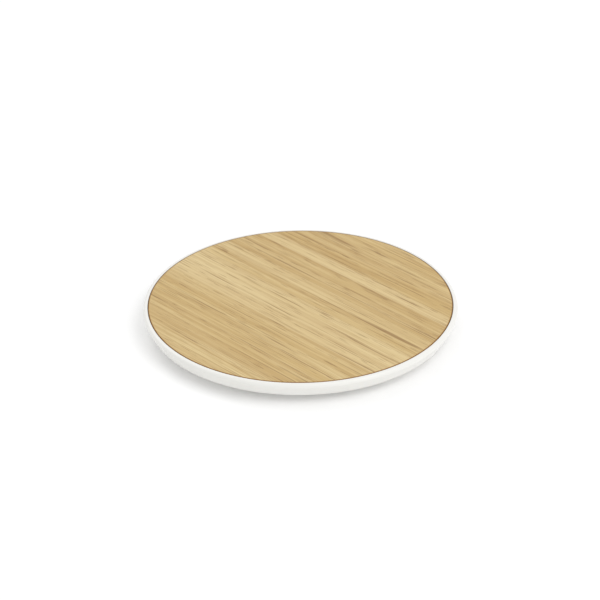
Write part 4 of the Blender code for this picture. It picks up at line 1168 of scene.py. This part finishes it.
def make_stage():
    """A pale floor under the pad."""
    bm = bmesh.new()
    bmesh.ops.create_grid(bm, x_segments=1, y_segments=1, size=FLOOR_HALF)
    floor = object_from("floor", bm)
    n = Nodes("floor")
    n.set(Base_Color=FLOOR_GREY, Roughness=0.9, Emission_Color=WHITE, Emission_Strength=FLOOR_GLOW)
    floor.data.materials.append(n.material)


def area_light(name, spot, power):
    """A square soft light that faces the pad, placed as seen from the camera."""
    light = bpy.data.lights.new(name, "AREA")
    light.shape = "SQUARE"
    light.size = LIGHT_SIZE
    light.energy = power
    obj = bpy.data.objects.new(name, light)
    obj.location = RIGHT * spot[0] + AWAY * spot[1] + UP * spot[2]
    obj.rotation_euler = (-obj.location).to_track_quat("-Z", "Y").to_euler()
    scene.collection.objects.link(obj)


def make_lights():
    """An even white surround, a soft light high at the front right and a weaker one behind at the left."""
    world = bpy.data.worlds.new("surround")
    world.use_nodes = True
    surround = world.node_tree.nodes["Background"]
    surround.inputs["Color"].default_value = WHITE
    surround.inputs["Strength"].default_value = SURROUND_STRENGTH
    scene.world = world
    area_light("key", *KEY_LIGHT)
    area_light("back", *BACK_LIGHT)


def make_camera():
    """The camera at the photograph's angle, aimed just above the middle of the top."""
    back = UP * math.sin(CAMERA_ELEVATION) - AWAY * math.cos(CAMERA_ELEVATION)
    level_top = back.cross(RIGHT)
    side = RIGHT * math.cos(CAMERA_ROLL) + level_top * math.sin(CAMERA_ROLL)
    top = level_top * math.cos(CAMERA_ROLL) - RIGHT * math.sin(CAMERA_ROLL)
    data = bpy.data.cameras.new("camera")
    data.lens = CAMERA_LENS
    data.sensor_width = SENSOR_WIDTH
    data.clip_start, data.clip_end = CAMERA_CLIP
    camera = bpy.data.objects.new("camera", data)
    place = UP * PAD_TOP + side * AIM_RIGHT + top * AIM_UP + back * CAMERA_DISTANCE
    camera.matrix_world = Matrix.Translation(place) @ Matrix((side, top, back)).transposed().to_4x4()
    scene.collection.objects.link(camera)
    scene.camera = camera


# ---- making

white = plastic_material("white_plastic", rgb(239, 238, 234), rgb(236, 235, 230), 0.36)
black = plastic_material("black_plastic", rgb(38, 38, 41), rgb(48, 48, 51), 0.50, 0.008 * MM)
glow = plastic_material("light_source", rgb(244, 236, 190), rgb(232, 222, 170), 0.30)
tin = metal_material("nickel_steel", rgb(216, 215, 211), rgb(200, 198, 193), 0.30)
gold = metal_material("gold_contact", rgb(232, 190, 108), rgb(214, 168, 88), 0.22)
steel = metal_material("screw_steel", rgb(170, 170, 172), rgb(146, 146, 149), 0.34)
make_upper_shell(white)
make_base_shell(white)
make_bamboo_top(bamboo_material())
make_feet(rubber_material())
make_flat_layers(adhesive_material(), ferrite_material())
make_coil(litz_material())
make_sensor(black, tin)
make_components(black, ceramic_material(), resistor_material(), tin, glow)
make_light_pipe(clear_material())
make_socket_shell(tin)
make_insulator(black)
make_contacts(gold)
make_screws(steel)
finish_board(board_material())
make_camera()
make_lights()
make_stage()
scene.view_settings.view_transform = "Standard"
